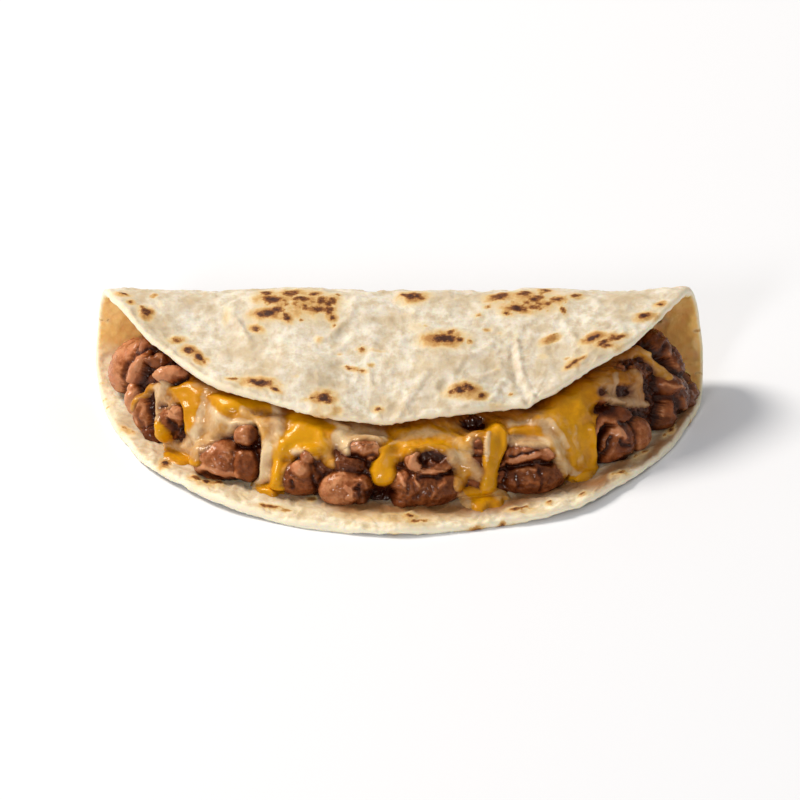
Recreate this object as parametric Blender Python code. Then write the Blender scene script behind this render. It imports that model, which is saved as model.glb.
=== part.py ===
"""A bean and cheese taco: one soft flour tortilla folded over a heap of beans under melted cheese.

Metres, +Z up. +X runs along the fold and +Y from the open front to the fold at the back. The origin
is on the surface that the taco lies on, under the middle of it.
The tortilla is described by the flat disc that it was: across is the distance along X from its
middle, and along is the length of dough from the front of the lower flap, round the fold, to the
rim of the upper flap. The filling is described by a bearing round HEAP_MIDDLE: 0 degrees points to
the open front, 90 to the right.
"""

import math
import random

import bmesh
import bpy
from mathutils import Vector

MM = 0.001
GAP = 0.4 * MM  # left between pieces that rest on each other

# The tortilla: a round sheet of dough, and how it is bent
TORTILLA_RADIUS = 90 * MM
DOUGH_THICKNESS = 2.2 * MM
FOLD_START = 69 * MM  # length of the flat lower flap
FOLD_LENGTH = 72 * MM
FOLD_TURN = math.radians(194)  # past 180, because the upper flap slopes down to the front
FOLD_EASE = 0.2  # share of the fold over which its bend sets in, and fades out
FLAP_SAG = math.radians(4)
RIM_OVERHANG = 0.7 * MM  # the cut edge is rounded, and its middle stands out this far
DEPTH = 95.2 * MM  # from the lower flap's front rim to the outside of the fold
FRONT_Y = -DEPTH / 2 + RIM_OVERHANG
PROFILE_STEP = 0.5 * MM
GRID_ACROSS = 24
GRID_ALONG = 38
RIM_WAVES = [(6, 0.35 * MM), (10, 0.25 * MM)]  # waves round the rim, and their height
ROUNDNESS = 0.993  # the tortilla's width, as a share of its length

# Where the dough bulges (+) or dips (-): (across, along, radius, height)
DOUGH_SWELLS = [
    (-62 * MM, 148 * MM, 30 * MM, -3.2 * MM),  # the upper flap's left side hangs lower
    (35 * MM, 172 * MM, 15 * MM, -1.6 * MM),
    (-5 * MM, 176 * MM, 13 * MM, -1.2 * MM),
    (-28 * MM, 160 * MM, 14 * MM, 1.2 * MM),
    (14 * MM, 160 * MM, 16 * MM, 1.0 * MM),
    (60 * MM, 150 * MM, 17 * MM, 1.1 * MM),
    (-30 * MM, 118 * MM, 20 * MM, 0.9 * MM),
    (40 * MM, 116 * MM, 18 * MM, 0.8 * MM),
    (-84 * MM, 118 * MM, 16 * MM, 1.0 * MM),  # the fold's two corners stand up a little
    (84 * MM, 118 * MM, 16 * MM, 1.0 * MM),
]
# The lower flap's rim curls up off the surface: (across, reach along the rim, height)
RIM_CURLS = [
    (-60 * MM, 26 * MM, 1.6 * MM),
    (56 * MM, 30 * MM, 1.6 * MM),
    (-4 * MM, 16 * MM, 0.8 * MM),
]
CURL_WIDTH = 11 * MM

# The heap of beans: its foot is an oval, cut straight near the fold
HEAP_MIDDLE_Y = 55 * MM  # from the lower flap's front rim, as the next two
FOOT_OVAL_Y = 88 * MM
HEAP_BACK_Y = 83.5 * MM
FOOT_OVAL_HALF_WIDTH = 83 * MM
FOOT_OVAL_HALF_DEPTH = 73 * MM
FOOT_ROUNDING = 7  # the larger, the sharper the two corners at the back
FACE_WIDTH = 11 * MM  # how far the sloping face reaches inward
HEAP_PEAK = 27 * MM
END_DROP = 3.5 * MM  # the heap is this much lower at its two ends
TOP_EASING = 3 * MM
CHEESE_THICKNESS = 2.4 * MM
SHEET_GAP = 0.75 * MM  # between the heap and the cheese, for both are faceted where they curve
LAYER_ROOM = CHEESE_THICKNESS + SHEET_GAP + 2.5 * GAP  # between the heap's top and the upper flap
HEAP_RINGS_TOP = 7
HEAP_RINGS_FACE = 7
HEAP_BEARINGS = 66
MASH_RELIEF = 0.55 * MM

# Cooked beans: half of the length, width and thickness
BEAN_HALF = (7.4 * MM, 4.9 * MM, 4.4 * MM)
BEAN_BEND = 0.16
BEAN_SIDES = 10
BEAN_RINGS = 7
# The beans that show: (bearing in degrees, height, size, tilt in degrees, fatness)
SHOWN_BEANS = [
    (-104, 14 * MM, 1.1, 75, 1.05),
    (-100, 21.5 * MM, 0.95, 30, 1.1),
    (-95, 7 * MM, 1.05, 80, 1.0),
    (-69, 7 * MM, 0.95, 20, 1.25),
    (-61, 7 * MM, 0.9, 70, 1.15),
    (-63, 15.5 * MM, 0.6, 40, 1.1),
    (-42.5, 8 * MM, 0.9, 30, 1.15),
    (-25, 6.8 * MM, 1.1, 15, 1.15),
    (-21.5, 14.5 * MM, 0.7, 10, 0.9),
    (10, 7.5 * MM, 1.35, 8, 1.2),
    (50, 8 * MM, 1.2, 5, 1.2),
    (75, 8.5 * MM, 1.0, 35, 1.25),
    (84, 7 * MM, 1.05, 70, 1.15),
    (96, 7 * MM, 1.1, 40, 1.15),
    (94, 16 * MM, 0.95, 10, 1.1),
    (103, 19.5 * MM, 1.0, 20, 1.15),
]
# Others lie at both ends, behind them: (bearing in degrees, height)
END_BEANS = [
    (-112, 7 * MM),
    (-109, 21 * MM),
    (-120, 14 * MM),
    (-132, 9 * MM),
    (107, 9 * MM),
    (112, 20 * MM),
    (121, 13 * MM),
    (133, 9 * MM),
]
BEAN_SEED = 11
BEAN_OFF_DOUGH = 0.15 * MM  # beans are flattened where they lie on the dough

# The melted cheese: a sheet on the heap, whose rim hangs down in runs
CHEESE_BEARINGS_FRONT = 94
CHEESE_BEARINGS_BACK = 14
FRONT_SPREAD = 100  # degrees each way that the finer bearings cover
CHEESE_RINGS = 9
# How far down the sheet reaches: 1 is the top of the face, and 2 is the foot of the heap
RIM_FRONT = 1.36
RIM_BACK = 0.8
RIM_END_BEARING = 91
# The runs: (bearing in degrees, half width in degrees, how far down, how much thicker)
CHEESE_RUNS = [
    (-85, 3.0, 1.75, 0.5 * MM),
    (-77, 3.5, 1.93, 0.6 * MM),
    (-52, 4.0, 1.93, 0.6 * MM),
    (-34, 3.5, 1.60, 0.4 * MM),
    (-7.5, 5.0, 1.72, 0.9 * MM),
    (31, 6.0, 1.94, 0.9 * MM),
    (64, 5.0, 1.93, 1.0 * MM),
]
RIM_TAPER = 0.55  # share of the thickness left at the sheet's rim
BEAN_MARGIN = 2.0 * MM  # the rim stays this far above each bean that shows

FLOUR_CREAM = (0.76, 0.62, 0.42, 1)
BEAN_BROWN = (0.20, 0.065, 0.033, 1)
CHEDDAR_YELLOW = (0.72, 0.33, 0.02, 1)


def ease(t):
    t = min(max(t, 0.0), 1.0)
    return t * t * (3 - 2 * t)


def bell(distance, radius):
    """A smooth bump: 1 in its middle, and nothing from its radius on."""
    return (1 - min(distance / radius, 1) ** 2) ** 2


# ---- the tortilla's bend


def dough_angle(along):
    """The way the dough points at this length from the front: 0 is level, towards the back."""
    t = min(max((along - FOLD_START) / FOLD_LENGTH, 0), 1)
    if t < FOLD_EASE:
        turned = t * t / (2 * FOLD_EASE)
    elif t < 1 - FOLD_EASE:
        turned = t - FOLD_EASE / 2
    else:
        turned = 1 - FOLD_EASE - (1 - t) ** 2 / (2 * FOLD_EASE)
    flap_start = FOLD_START + FOLD_LENGTH
    flap_length = 2 * TORTILLA_RADIUS - flap_start
    sag = max(along - flap_start, 0) / flap_length
    return FOLD_TURN * turned / (1 - FOLD_EASE) + FLAP_SAG * sag


def bend_profile():
    """The middle of the dough's thickness, from the front rim on: a list of (y, z)."""
    y = FRONT_Y
    z = DOUGH_THICKNESS / 2
    points = [(y, z)]
    for i in range(round(2 * TORTILLA_RADIUS / PROFILE_STEP)):
        angle = dough_angle((i + 0.5) * PROFILE_STEP)
        y += PROFILE_STEP * math.cos(angle)
        z += PROFILE_STEP * math.sin(angle)
        points.append((y, z))
    return points


PROFILE = bend_profile()


def profile_at(along):
    """(y, z) of the dough's middle, and its outward direction there as (y, z)."""
    place = min(max(along / PROFILE_STEP, 0), len(PROFILE) - 1.001)
    i = int(place)
    part = place - i
    y = PROFILE[i][0] + (PROFILE[i + 1][0] - PROFILE[i][0]) * part
    z = PROFILE[i][1] + (PROFILE[i + 1][1] - PROFILE[i][1]) * part
    angle = dough_angle(along)
    return y, z, math.sin(angle), -math.cos(angle)


def swell(across, along):
    """How far the dough bulges outward from its plain bend."""
    return sum(h * bell(math.hypot(across - x, along - s), r) for x, s, r, h in DOUGH_SWELLS)


def curl(across, along):
    """How far the lower flap's rim is raised."""
    from_middle = math.hypot(across, along - TORTILLA_RADIUS)
    near_rim = ease(1 - (TORTILLA_RADIUS - from_middle) / CURL_WIDTH)
    if along > TORTILLA_RADIUS or near_rim == 0:
        return 0.0
    return near_rim * sum(h * bell(abs(across - x), r) for x, r, h in RIM_CURLS)


def dough_point(across, along, side):
    """A point of the folded tortilla. side is 1 on its outside, -1 on its inside, 0 halfway."""
    y, z, out_y, out_z = profile_at(along)
    out = side * DOUGH_THICKNESS / 2 + swell(across, along)
    return Vector((across, y + out * out_y, z + out * out_z + curl(across, along)))


def disc_place(a, b):
    """A point of the square -1..1 as (across, along) on the flat tortilla, which isn't quite round."""
    across = a * math.sqrt(1 - b * b / 2)
    along = b * math.sqrt(1 - a * a / 2)
    around = math.atan2(across, along)
    wave = sum(height * math.sin(count * around) for count, height in RIM_WAVES)
    radius = TORTILLA_RADIUS + wave * (across * across + along * along)
    return across * radius * ROUNDNESS, TORTILLA_RADIUS + along * radius


def square_rim(columns, rows):
    """The grid's border as (column, row), once round."""
    lower = [(i, 0) for i in range(columns)]
    right = [(columns, j) for j in range(rows)]
    upper = [(i, rows) for i in range(columns, 0, -1)]
    left = [(0, j) for j in range(rows, 0, -1)]
    return lower + right + upper + left


def tortilla_mesh():
    mesh = bmesh.new()
    faces = {}
    for side in (1, -1):
        for i in range(GRID_ACROSS + 1):
            for j in range(GRID_ALONG + 1):
                a = 2 * i / GRID_ACROSS - 1
                b = 2 * j / GRID_ALONG - 1
                faces[side, i, j] = mesh.verts.new(dough_point(*disc_place(a, b), side))
        for i in range(GRID_ACROSS):
            for j in range(GRID_ALONG):
                corners = [(i, j), (i + 1, j), (i + 1, j + 1), (i, j + 1)]
                mesh.faces.new([faces[side, *corner] for corner in corners][::-side])
    border = square_rim(GRID_ACROSS, GRID_ALONG)
    middle = []
    for i, j in border:
        across, along = disc_place(2 * i / GRID_ACROSS - 1, 2 * j / GRID_ALONG - 1)
        out_across = across / TORTILLA_RADIUS
        out_along = along / TORTILLA_RADIUS - 1
        rim = dough_point(across, along, 0)
        inward = dough_point(across - out_across * MM, along - out_along * MM, 0)
        middle.append(mesh.verts.new(rim + (rim - inward).normalized() * RIM_OVERHANG))
    for k, (i, j) in enumerate(border):
        n = (k + 1) % len(border)
        outer, outer_next = faces[1, i, j], faces[1, *border[n]]
        inner, inner_next = faces[-1, i, j], faces[-1, *border[n]]
        mesh.faces.new([outer, outer_next, middle[n], middle[k]])
        mesh.faces.new([middle[k], middle[n], inner_next, inner])
    return mesh


# ---- the heap


def lower_flap_top(y):
    """Height of the dough's inside at this y, on the lower flap and the rising part of the fold."""
    half = DOUGH_THICKNESS / 2
    low, high = 0.0, FOLD_START + FOLD_LENGTH / 2
    for _ in range(24):
        along = (low + high) / 2
        py, pz, out_y, out_z = profile_at(along)
        if py - out_y * half < y:
            low = along
        else:
            high = along
    return pz - out_z * half


def upper_flap_under(x, y):
    """Height of the dough's inside over this place, on the upper flap."""
    half = DOUGH_THICKNESS / 2
    low, high = FOLD_START + FOLD_LENGTH / 2, 2 * TORTILLA_RADIUS
    for _ in range(24):
        along = (low + high) / 2
        py, pz, out_y, out_z = profile_at(along)
        if py > y:
            low = along
        else:
            high = along
    return pz - half / out_z + swell(x, along)


def clear_of_dough(point, room):
    """The point, or the nearest place to it that is this far off the dough's inside."""
    nearest = min(range(len(PROFILE)), key=lambda i: math.dist(PROFILE[i], point.yz))
    y, z = PROFILE[nearest]
    along = nearest * PROFILE_STEP
    _, _, out_y, out_z = profile_at(along)
    raised = z + out_z * swell(point.x, along) + curl(point.x, along)
    inward = (y - point.y) * out_y + (raised - point.z) * out_z
    lack = DOUGH_THICKNESS / 2 + room - inward
    if lack <= 0:
        return point
    return point - Vector((0, out_y, out_z)) * lack


def foot_reach(bearing):
    """How far the heap's foot is from HEAP_MIDDLE towards this bearing, in radians."""
    sine, cosine = math.sin(bearing), math.cos(bearing)
    width, depth = FOOT_OVAL_HALF_WIDTH, FOOT_OVAL_HALF_DEPTH
    offset = HEAP_MIDDLE_Y - FOOT_OVAL_Y
    a = (sine / width) ** 2 + (cosine / depth) ** 2
    b = -2 * offset * cosine / depth**2
    c = (offset / depth) ** 2 - 1
    oval = (-b + math.sqrt(b * b - 4 * a * c)) / (2 * a)
    if cosine > -0.01:
        return oval
    straight = (HEAP_BACK_Y - HEAP_MIDDLE_Y) / -cosine
    return (oval**-FOOT_ROUNDING + straight**-FOOT_ROUNDING) ** (-1 / FOOT_ROUNDING)


def heap_top(x, y):
    """The lower of the heap's own crown and the room under the upper flap, with the change eased."""
    crown = HEAP_PEAK - END_DROP * (abs(x) / FOOT_OVAL_HALF_WIDTH) ** 4
    room = upper_flap_under(x, y) - LAYER_ROOM
    near = max(1 - abs(crown - room) / TOP_EASING, 0)
    return min(crown, room) - near * near * TOP_EASING / 4


def heap_point(bearing, down):
    """A point of the bare heap. down is 0 in its middle, 1 at the top of its face, 2 at its foot."""
    foot = foot_reach(bearing)
    if down <= 1:
        reach, share = (foot - FACE_WIDTH) * down, 1.0
    else:
        slope = (down - 1) * math.pi / 2
        reach, share = foot - FACE_WIDTH * (1 - math.sin(slope)), math.cos(slope)
    x = reach * math.sin(bearing)
    y = FRONT_Y + HEAP_MIDDLE_Y - reach * math.cos(bearing)
    floor = lower_flap_top(y) + GAP
    return Vector((x, y, floor + (heap_top(x, y) - floor) * share))


def heap_out(bearing, down):
    """The outward direction of the bare heap's surface."""
    step = 0.01
    round_it = heap_point(bearing + step, down) - heap_point(bearing - step, down)
    down_it = heap_point(bearing, min(down + step, 2)) - heap_point(bearing, down - step)
    return down_it.cross(round_it).normalized()


def down_at(bearing, height):
    """How far down the face this height above the table is."""
    low, high = 1.0, 2.0
    for _ in range(20):
        middle = (low + high) / 2
        if heap_point(bearing, middle).z > height:
            low = middle
        else:
            high = middle
    return low


def ring_faces(mesh, rings):
    """Joins each closed ring of vertices to the next."""
    for first, second in zip(rings, rings[1:]):
        count = len(first)
        for k in range(count):
            n = (k + 1) % count
            mesh.faces.new([first[k], first[n], second[n], second[k]])


def fan(mesh, middle, ring):
    for k in range(len(ring)):
        mesh.faces.new([middle, ring[(k + 1) % len(ring)], ring[k]])


def mash_relief(bearing, down):
    """Mashed beans between the whole ones: shallow hollows in the heap's face."""
    lumps = math.sin(9 * bearing + 5 * down) * math.sin(14 * bearing - 6.5 * down + 1)
    return MASH_RELIEF * (lumps - 1) * ease((down - 1) * 4) * ease((2 - down) * 5)


def heap_mesh():
    mesh = bmesh.new()
    downs = [(i + 1) / HEAP_RINGS_TOP for i in range(HEAP_RINGS_TOP)]
    downs += [1 + (i + 1) / HEAP_RINGS_FACE for i in range(HEAP_RINGS_FACE)]
    bearings = [2 * math.pi * k / HEAP_BEARINGS for k in range(HEAP_BEARINGS)]
    rings = []
    for down in downs:
        ring = []
        for bearing in bearings:
            place = heap_point(bearing, down)
            if 1 < down < 2:
                place += heap_out(bearing, down) * mash_relief(bearing, down)
            ring.append(mesh.verts.new(place))
        rings.append(ring)
    for share in (0.75, 0.35):
        under = []
        for bearing in bearings:
            reach = foot_reach(bearing) * share
            x = reach * math.sin(bearing)
            y = FRONT_Y + HEAP_MIDDLE_Y - reach * math.cos(bearing)
            under.append(mesh.verts.new((x, y, lower_flap_top(y) + GAP)))
        rings.append(under)
    ring_faces(mesh, rings)
    fan(mesh, mesh.verts.new(heap_point(0, 0)), rings[0])
    middle_y = FRONT_Y + HEAP_MIDDLE_Y
    fan(mesh, mesh.verts.new((0, middle_y, lower_flap_top(middle_y) + GAP)), rings[-1])
    bmesh.ops.recalc_face_normals(mesh, faces=mesh.faces)
    return mesh


def bean_mesh(bend, fatness):
    """One cooked bean: an egg along X, bent to a kidney, with few sides."""
    mesh = bmesh.new()
    length, width, thickness = BEAN_HALF
    rings = []
    for i in range(1, BEAN_RINGS):
        angle = math.pi * i / BEAN_RINGS
        x = -math.cos(angle)
        ring = []
        for k in range(BEAN_SIDES):
            turn = 2 * math.pi * k / BEAN_SIDES
            y = math.sin(angle) * math.cos(turn) * width * fatness + bend * (x * x - 0.4) * length
            z = math.sin(angle) * math.sin(turn) * thickness * fatness
            ring.append(mesh.verts.new((x * length, y, z)))
        rings.append(ring)
    ring_faces(mesh, rings)
    for end, ring in ((-1, rings[0]), (1, rings[-1])):
        tip = mesh.verts.new((end * length, bend * 0.6 * length, 0))
        fan(mesh, tip, ring)
    bmesh.ops.recalc_face_normals(mesh, faces=mesh.faces)
    return mesh


def placed_bean(bearing, height, size, tilt, fatness):
    """A bean lying on the heap's face, sunk into it a little more than halfway."""
    down = down_at(bearing, height)
    out = heap_out(bearing, down)
    level = Vector((math.cos(bearing), math.sin(bearing), 0))
    upward = out.cross(level).normalized()
    level = upward.cross(out).normalized()
    along = level * math.cos(tilt) + upward * math.sin(tilt)
    aside = out.cross(along)
    middle = heap_point(bearing, down) + out * BEAN_HALF[2] * size * fatness * 0.18
    mesh = bean_mesh(BEAN_BEND, fatness)
    for vertex in mesh.verts:
        local = vertex.co * size
        place = middle + along * local.x + aside * local.y + out * local.z
        vertex.co = clear_of_dough(place, GAP + BEAN_OFF_DOUGH)
    bmesh.ops.recalc_face_normals(mesh, faces=mesh.faces)
    return mesh


def bean_places():
    """(bearing, height, size, tilt, fatness) of every bean that shows, angles in radians."""
    dice = random.Random(BEAN_SEED)
    places = list(SHOWN_BEANS)
    for bearing, height in END_BEANS:
        places.append((bearing, height, dice.uniform(0.9, 1.1), dice.uniform(-40, 40), 1.1))
    return [(math.radians(place[0]), *place[1:3], math.radians(place[3]), place[4]) for place in places]


# ---- the cheese


def bean_top(bearing, height, size, tilt, fatness):
    """(bearing, half width in degrees, how far down its top is) of a bean, with the room it needs."""
    tilt = math.radians(abs(tilt))
    half_length, half_width = BEAN_HALF[0] * size, BEAN_HALF[1] * size * fatness
    level = math.hypot(half_length * math.cos(tilt), half_width * math.sin(tilt)) + BEAN_MARGIN
    upward = math.hypot(half_length * math.sin(tilt), half_width * math.cos(tilt)) + BEAN_MARGIN
    radians = math.radians(bearing)
    return bearing, math.degrees(level / foot_reach(radians)), down_at(radians, height + upward)


BEAN_TOPS = [bean_top(*bean) for bean in SHOWN_BEANS]


def cheese_reach(bearing):
    """How far down the sheet of cheese reaches at this bearing, on heap_point's scale."""
    degrees = math.degrees(bearing)
    at_front = ease((RIM_END_BEARING + 8 - abs(degrees)) / 16)
    reach = RIM_BACK + (RIM_FRONT - RIM_BACK) * at_front
    for middle, half_width, down, _ in CHEESE_RUNS:
        beside = min(abs(degrees - middle) / (half_width * 1.6), 1)
        reach += (down - reach) * (1 - beside**2) ** 1.1
    for bean, half_width, top in BEAN_TOPS:
        beside = min(abs(degrees - bean) / half_width, 1)
        reach = min(reach, top + (2 - top) * beside**6)
    return reach


def cheese_depth(bearing, down, share):
    """The sheet's thickness: more along a run, less at the rim. share is 1 at the rim."""
    degrees = math.degrees(bearing)
    thicker = sum(more * bell(abs(degrees - middle), half_width * 1.6)
                  for middle, half_width, _, more in CHEESE_RUNS)
    rim = 1 - (1 - RIM_TAPER) * ease((share - 0.8) * 5)
    on_face = ease((down - 1.2) * 4)
    return (CHEESE_THICKNESS + thicker * on_face) * rim


def cheese_bearings():
    """Close together at the front, where the runs are, and wide apart at the back."""
    spread = math.radians(FRONT_SPREAD)
    front = [spread * (2 * k / CHEESE_BEARINGS_FRONT - 1) for k in range(CHEESE_BEARINGS_FRONT + 1)]
    rest = 2 * (math.pi - spread) / CHEESE_BEARINGS_BACK
    return front + [spread + rest * (k + 1) for k in range(CHEESE_BEARINGS_BACK - 1)]


def cheese_mesh():
    mesh = bmesh.new()
    bearings = cheese_bearings()
    skins = {}
    for side in ("outer", "inner"):
        rings = []
        for i in range(CHEESE_RINGS):
            share = (i + 1) / CHEESE_RINGS
            ring = []
            for bearing in bearings:
                turn = (bearing + math.pi) % (2 * math.pi) - math.pi
                down = cheese_reach(turn) * share
                lift = SHEET_GAP
                if side == "outer":
                    lift += cheese_depth(turn, down, share)
                lift_way = heap_out(bearing, down) if down > 1 else Vector((0, 0, 1))
                ring.append(mesh.verts.new(heap_point(bearing, down) + lift_way * lift))
            rings.append(ring)
        lift = SHEET_GAP + (CHEESE_THICKNESS if side == "outer" else 0)
        fan(mesh, mesh.verts.new(heap_point(0, 0) + Vector((0, 0, lift))), rings[0])
        ring_faces(mesh, rings)
        skins[side] = rings
    ring_faces(mesh, [skins["outer"][-1], skins["inner"][-1]])
    bmesh.ops.recalc_face_normals(mesh, faces=mesh.faces)
    return mesh


# ---- objects


def plain_material(name, colour, roughness):
    material = bpy.data.materials.new(name)
    material.use_nodes = True
    shader = material.node_tree.nodes["Principled BSDF"]
    shader.inputs["Base Color"].default_value = colour
    shader.inputs["Roughness"].default_value = roughness
    shader.inputs["Metallic"].default_value = 0
    return material


def add_object(name, mesh, material, collection=None):
    data = bpy.data.meshes.new(name)
    mesh.to_mesh(data)
    mesh.free()
    data.materials.append(material)
    data.shade_smooth()
    obj = bpy.data.objects.new(name, data)
    (collection or bpy.context.scene.collection).objects.link(obj)
    return obj


def fuse(core, collection):
    """Joins every object of the collection to the core as one solid."""
    union = core.modifiers.new("fused beans", "BOOLEAN")
    union.operation = "UNION"
    union.operand_type = "COLLECTION"
    union.collection = collection
    union.solver = "EXACT"
    bpy.context.view_layer.update()
    graph = bpy.context.evaluated_depsgraph_get()
    joined = bpy.data.meshes.new_from_object(core.evaluated_get(graph))
    core.modifiers.clear()
    core.data = joined
    for obj in list(collection.objects):
        bpy.data.objects.remove(obj)
    bpy.data.collections.remove(collection)


def main():
    for obj in list(bpy.data.objects):
        bpy.data.objects.remove(obj)
    dough = plain_material("flour tortilla", FLOUR_CREAM, 0.75)
    bean = plain_material("cooked bean", BEAN_BROWN, 0.4)
    cheese = plain_material("melted cheese", CHEDDAR_YELLOW, 0.3)
    add_object("tortilla", tortilla_mesh(), dough)
    heap = add_object("beans", heap_mesh(), bean)
    loose = bpy.data.collections.new("loose beans")
    bpy.context.scene.collection.children.link(loose)
    for n, place in enumerate(bean_places()):
        add_object(f"bean {n}", placed_bean(*place), bean, loose)
    fuse(heap, loose)
    add_object("cheese", cheese_mesh(), cheese)


main()
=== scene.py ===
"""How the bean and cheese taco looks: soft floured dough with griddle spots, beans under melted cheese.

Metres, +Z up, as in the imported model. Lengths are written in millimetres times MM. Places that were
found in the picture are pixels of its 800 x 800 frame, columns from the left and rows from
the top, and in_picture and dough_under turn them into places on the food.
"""

import math
import random

import bpy
import numpy as np
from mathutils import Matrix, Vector, noise


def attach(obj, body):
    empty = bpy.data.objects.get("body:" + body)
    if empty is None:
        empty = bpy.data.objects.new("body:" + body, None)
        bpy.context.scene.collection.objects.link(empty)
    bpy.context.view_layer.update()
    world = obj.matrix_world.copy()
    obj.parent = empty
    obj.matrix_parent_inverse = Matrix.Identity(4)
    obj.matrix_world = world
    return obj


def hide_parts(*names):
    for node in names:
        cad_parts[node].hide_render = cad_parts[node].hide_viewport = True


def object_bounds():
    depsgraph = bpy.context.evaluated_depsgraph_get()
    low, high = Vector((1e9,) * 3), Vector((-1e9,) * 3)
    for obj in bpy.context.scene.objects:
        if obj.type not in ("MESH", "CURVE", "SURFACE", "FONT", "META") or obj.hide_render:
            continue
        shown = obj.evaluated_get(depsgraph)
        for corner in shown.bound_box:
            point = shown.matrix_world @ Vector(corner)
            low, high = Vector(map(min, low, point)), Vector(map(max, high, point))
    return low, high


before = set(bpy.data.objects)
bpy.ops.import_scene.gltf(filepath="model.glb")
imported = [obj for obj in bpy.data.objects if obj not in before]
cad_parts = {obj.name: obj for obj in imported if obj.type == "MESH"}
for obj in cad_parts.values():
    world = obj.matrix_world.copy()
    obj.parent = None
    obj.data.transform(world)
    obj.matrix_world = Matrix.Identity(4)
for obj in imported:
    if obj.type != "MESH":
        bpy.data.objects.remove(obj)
cad_box = [list(corner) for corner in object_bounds()]

MM = 0.001

# ---- The camera
# A long lens, six metres off and 30 degrees up, looks straight at the open front. At that distance
# the taco's near and far sides keep almost the same scale, as in the picture.

CAMERA_DISTANCE = 6.0
CAMERA_ELEVATION = math.radians(30)
PICTURE_SIDE = 800  # pixels
PICTURE_MIDDLE = PICTURE_SIDE / 2
PIXEL = 0.296 * MM  # what one pixel spans at the taco
FRONT_RIM_ROW = 536  # the row on which the table shows right below the front rim
SENSOR_WIDTH = 36

to_right = np.array((1.0, 0.0, 0.0))
to_top = np.array((0.0, math.sin(CAMERA_ELEVATION), math.cos(CAMERA_ELEVATION)))
away = np.array((0.0, math.cos(CAMERA_ELEVATION), -math.sin(CAMERA_ELEVATION)))
front_rim = np.array((0.0, cad_box[0][1], 0.0))
aim = front_rim + to_top * (FRONT_RIM_ROW - PICTURE_MIDDLE) * PIXEL
camera_place = aim - away * CAMERA_DISTANCE

camera = bpy.data.objects.new("camera", bpy.data.cameras.new("camera"))
camera.data.sensor_width = SENSOR_WIDTH
camera.data.lens = SENSOR_WIDTH * CAMERA_DISTANCE / (PICTURE_SIDE * PIXEL)
camera.data.clip_end = 2 * CAMERA_DISTANCE
camera.location = camera_place
camera.rotation_mode = "QUATERNION"
camera.rotation_quaternion = Vector(away).to_track_quat("-Z", "Y")
bpy.context.scene.collection.objects.link(camera)
bpy.context.scene.camera = camera


def in_picture(points):
    """(columns, rows) of the pixels at which points show."""
    seen = np.asarray(points) - camera_place
    per_metre = CAMERA_DISTANCE / (seen @ away) / PIXEL
    return PICTURE_MIDDLE + seen @ to_right * per_metre, PICTURE_MIDDLE - seen @ to_top * per_metre


# ---- The tortilla
# A thin wheat-flour flatbread, rolled out and baked on a hot griddle: matte and floury, with air
# blisters whose tops scorched. It is folded once, and its cut edge is a pale rounded rim.

TORTILLA_RADIUS = 90 * MM
DOUGH_THICKNESS = 2.2 * MM
FOLD_START = 69 * MM  # along the dough, from the front of the lower flap
FOLD_LENGTH = 72 * MM
FOLD_TURN = math.radians(194)
FOLD_EASE = 0.2  # the share of the fold over which its bend sets in, and fades out
FLAP_SAG = math.radians(4)  # how much the upper flap bends down from the fold to its rim
TACO_DEPTH = 95.2 * MM
RIM_OVERHANG = 0.7 * MM  # how far the rounded rim stands out past the disc
FRONT_Y = -TACO_DEPTH / 2 + RIM_OVERHANG
PROFILE_STEP = 0.5 * MM
PROFILE_SPARE = 10  # steps that the profile goes on past either rim
ROUNDNESS = 0.993  # the disc's width as a share of its length
# Where the dough bulges or dips, in mm: (across, along, radius, height)
DOUGH_SWELLS = MM * np.array([
    (-62, 148, 30, -3.2), (35, 172, 15, -1.6), (-5, 176, 13, -1.2), (-28, 160, 14, 1.2), (14, 160, 16, 1.0),
    (60, 150, 17, 1.1), (-30, 118, 20, 0.9), (40, 116, 18, 0.8), (-84, 118, 16, 1.0), (84, 118, 16, 1.0),
])
# Where the lower flap's rim curls up, in mm: (across, reach along the rim, height)
RIM_CURLS = MM * np.array([(-60, 26, 1.6), (56, 30, 1.6), (-4, 16, 0.8)])
CURL_WIDTH = 11 * MM


def ease(t):
    """A smooth step: 0 up to a t of 0, and 1 from a t of 1 on."""
    t = np.clip(t, 0, 1)
    return t * t * (3 - 2 * t)


def bell(distance, radius):
    """A smooth bump: 1 in its middle, and nothing from its radius on."""
    return (1 - np.minimum(distance / radius, 1) ** 2) ** 2


def dough_angle(along):
    """The way the dough points at this length from the lower flap's front: 0 is level."""
    t = np.clip((along - FOLD_START) / FOLD_LENGTH, 0, 1)
    sets_in = t * t / (2 * FOLD_EASE)
    fades_out = 1 - FOLD_EASE - (1 - t) ** 2 / (2 * FOLD_EASE)
    steady = t - FOLD_EASE / 2
    turned = np.where(t < FOLD_EASE, sets_in, np.where(t < 1 - FOLD_EASE, steady, fades_out))
    flap_start = FOLD_START + FOLD_LENGTH
    sag = np.maximum(along - flap_start, 0) / (2 * TORTILLA_RADIUS - flap_start)
    return FOLD_TURN * turned / (1 - FOLD_EASE) + FLAP_SAG * sag


profile_steps = np.arange(-PROFILE_SPARE, round(2 * TORTILLA_RADIUS / PROFILE_STEP) + PROFILE_SPARE)
profile_turns = dough_angle((profile_steps + 0.5) * PROFILE_STEP)
profile_along = np.append(profile_steps, profile_steps[-1] + 1) * PROFILE_STEP
profile_y = FRONT_Y + PROFILE_STEP * (np.append(0, np.cumsum(np.cos(profile_turns))) - PROFILE_SPARE)
profile_z = DOUGH_THICKNESS / 2 + PROFILE_STEP * np.append(0, np.cumsum(np.sin(profile_turns)))


def swell(across, along):
    """How far outward the dough bulges."""
    return sum(h * bell(np.hypot(across - x, along - s), r) for x, s, r, h in DOUGH_SWELLS)


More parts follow.
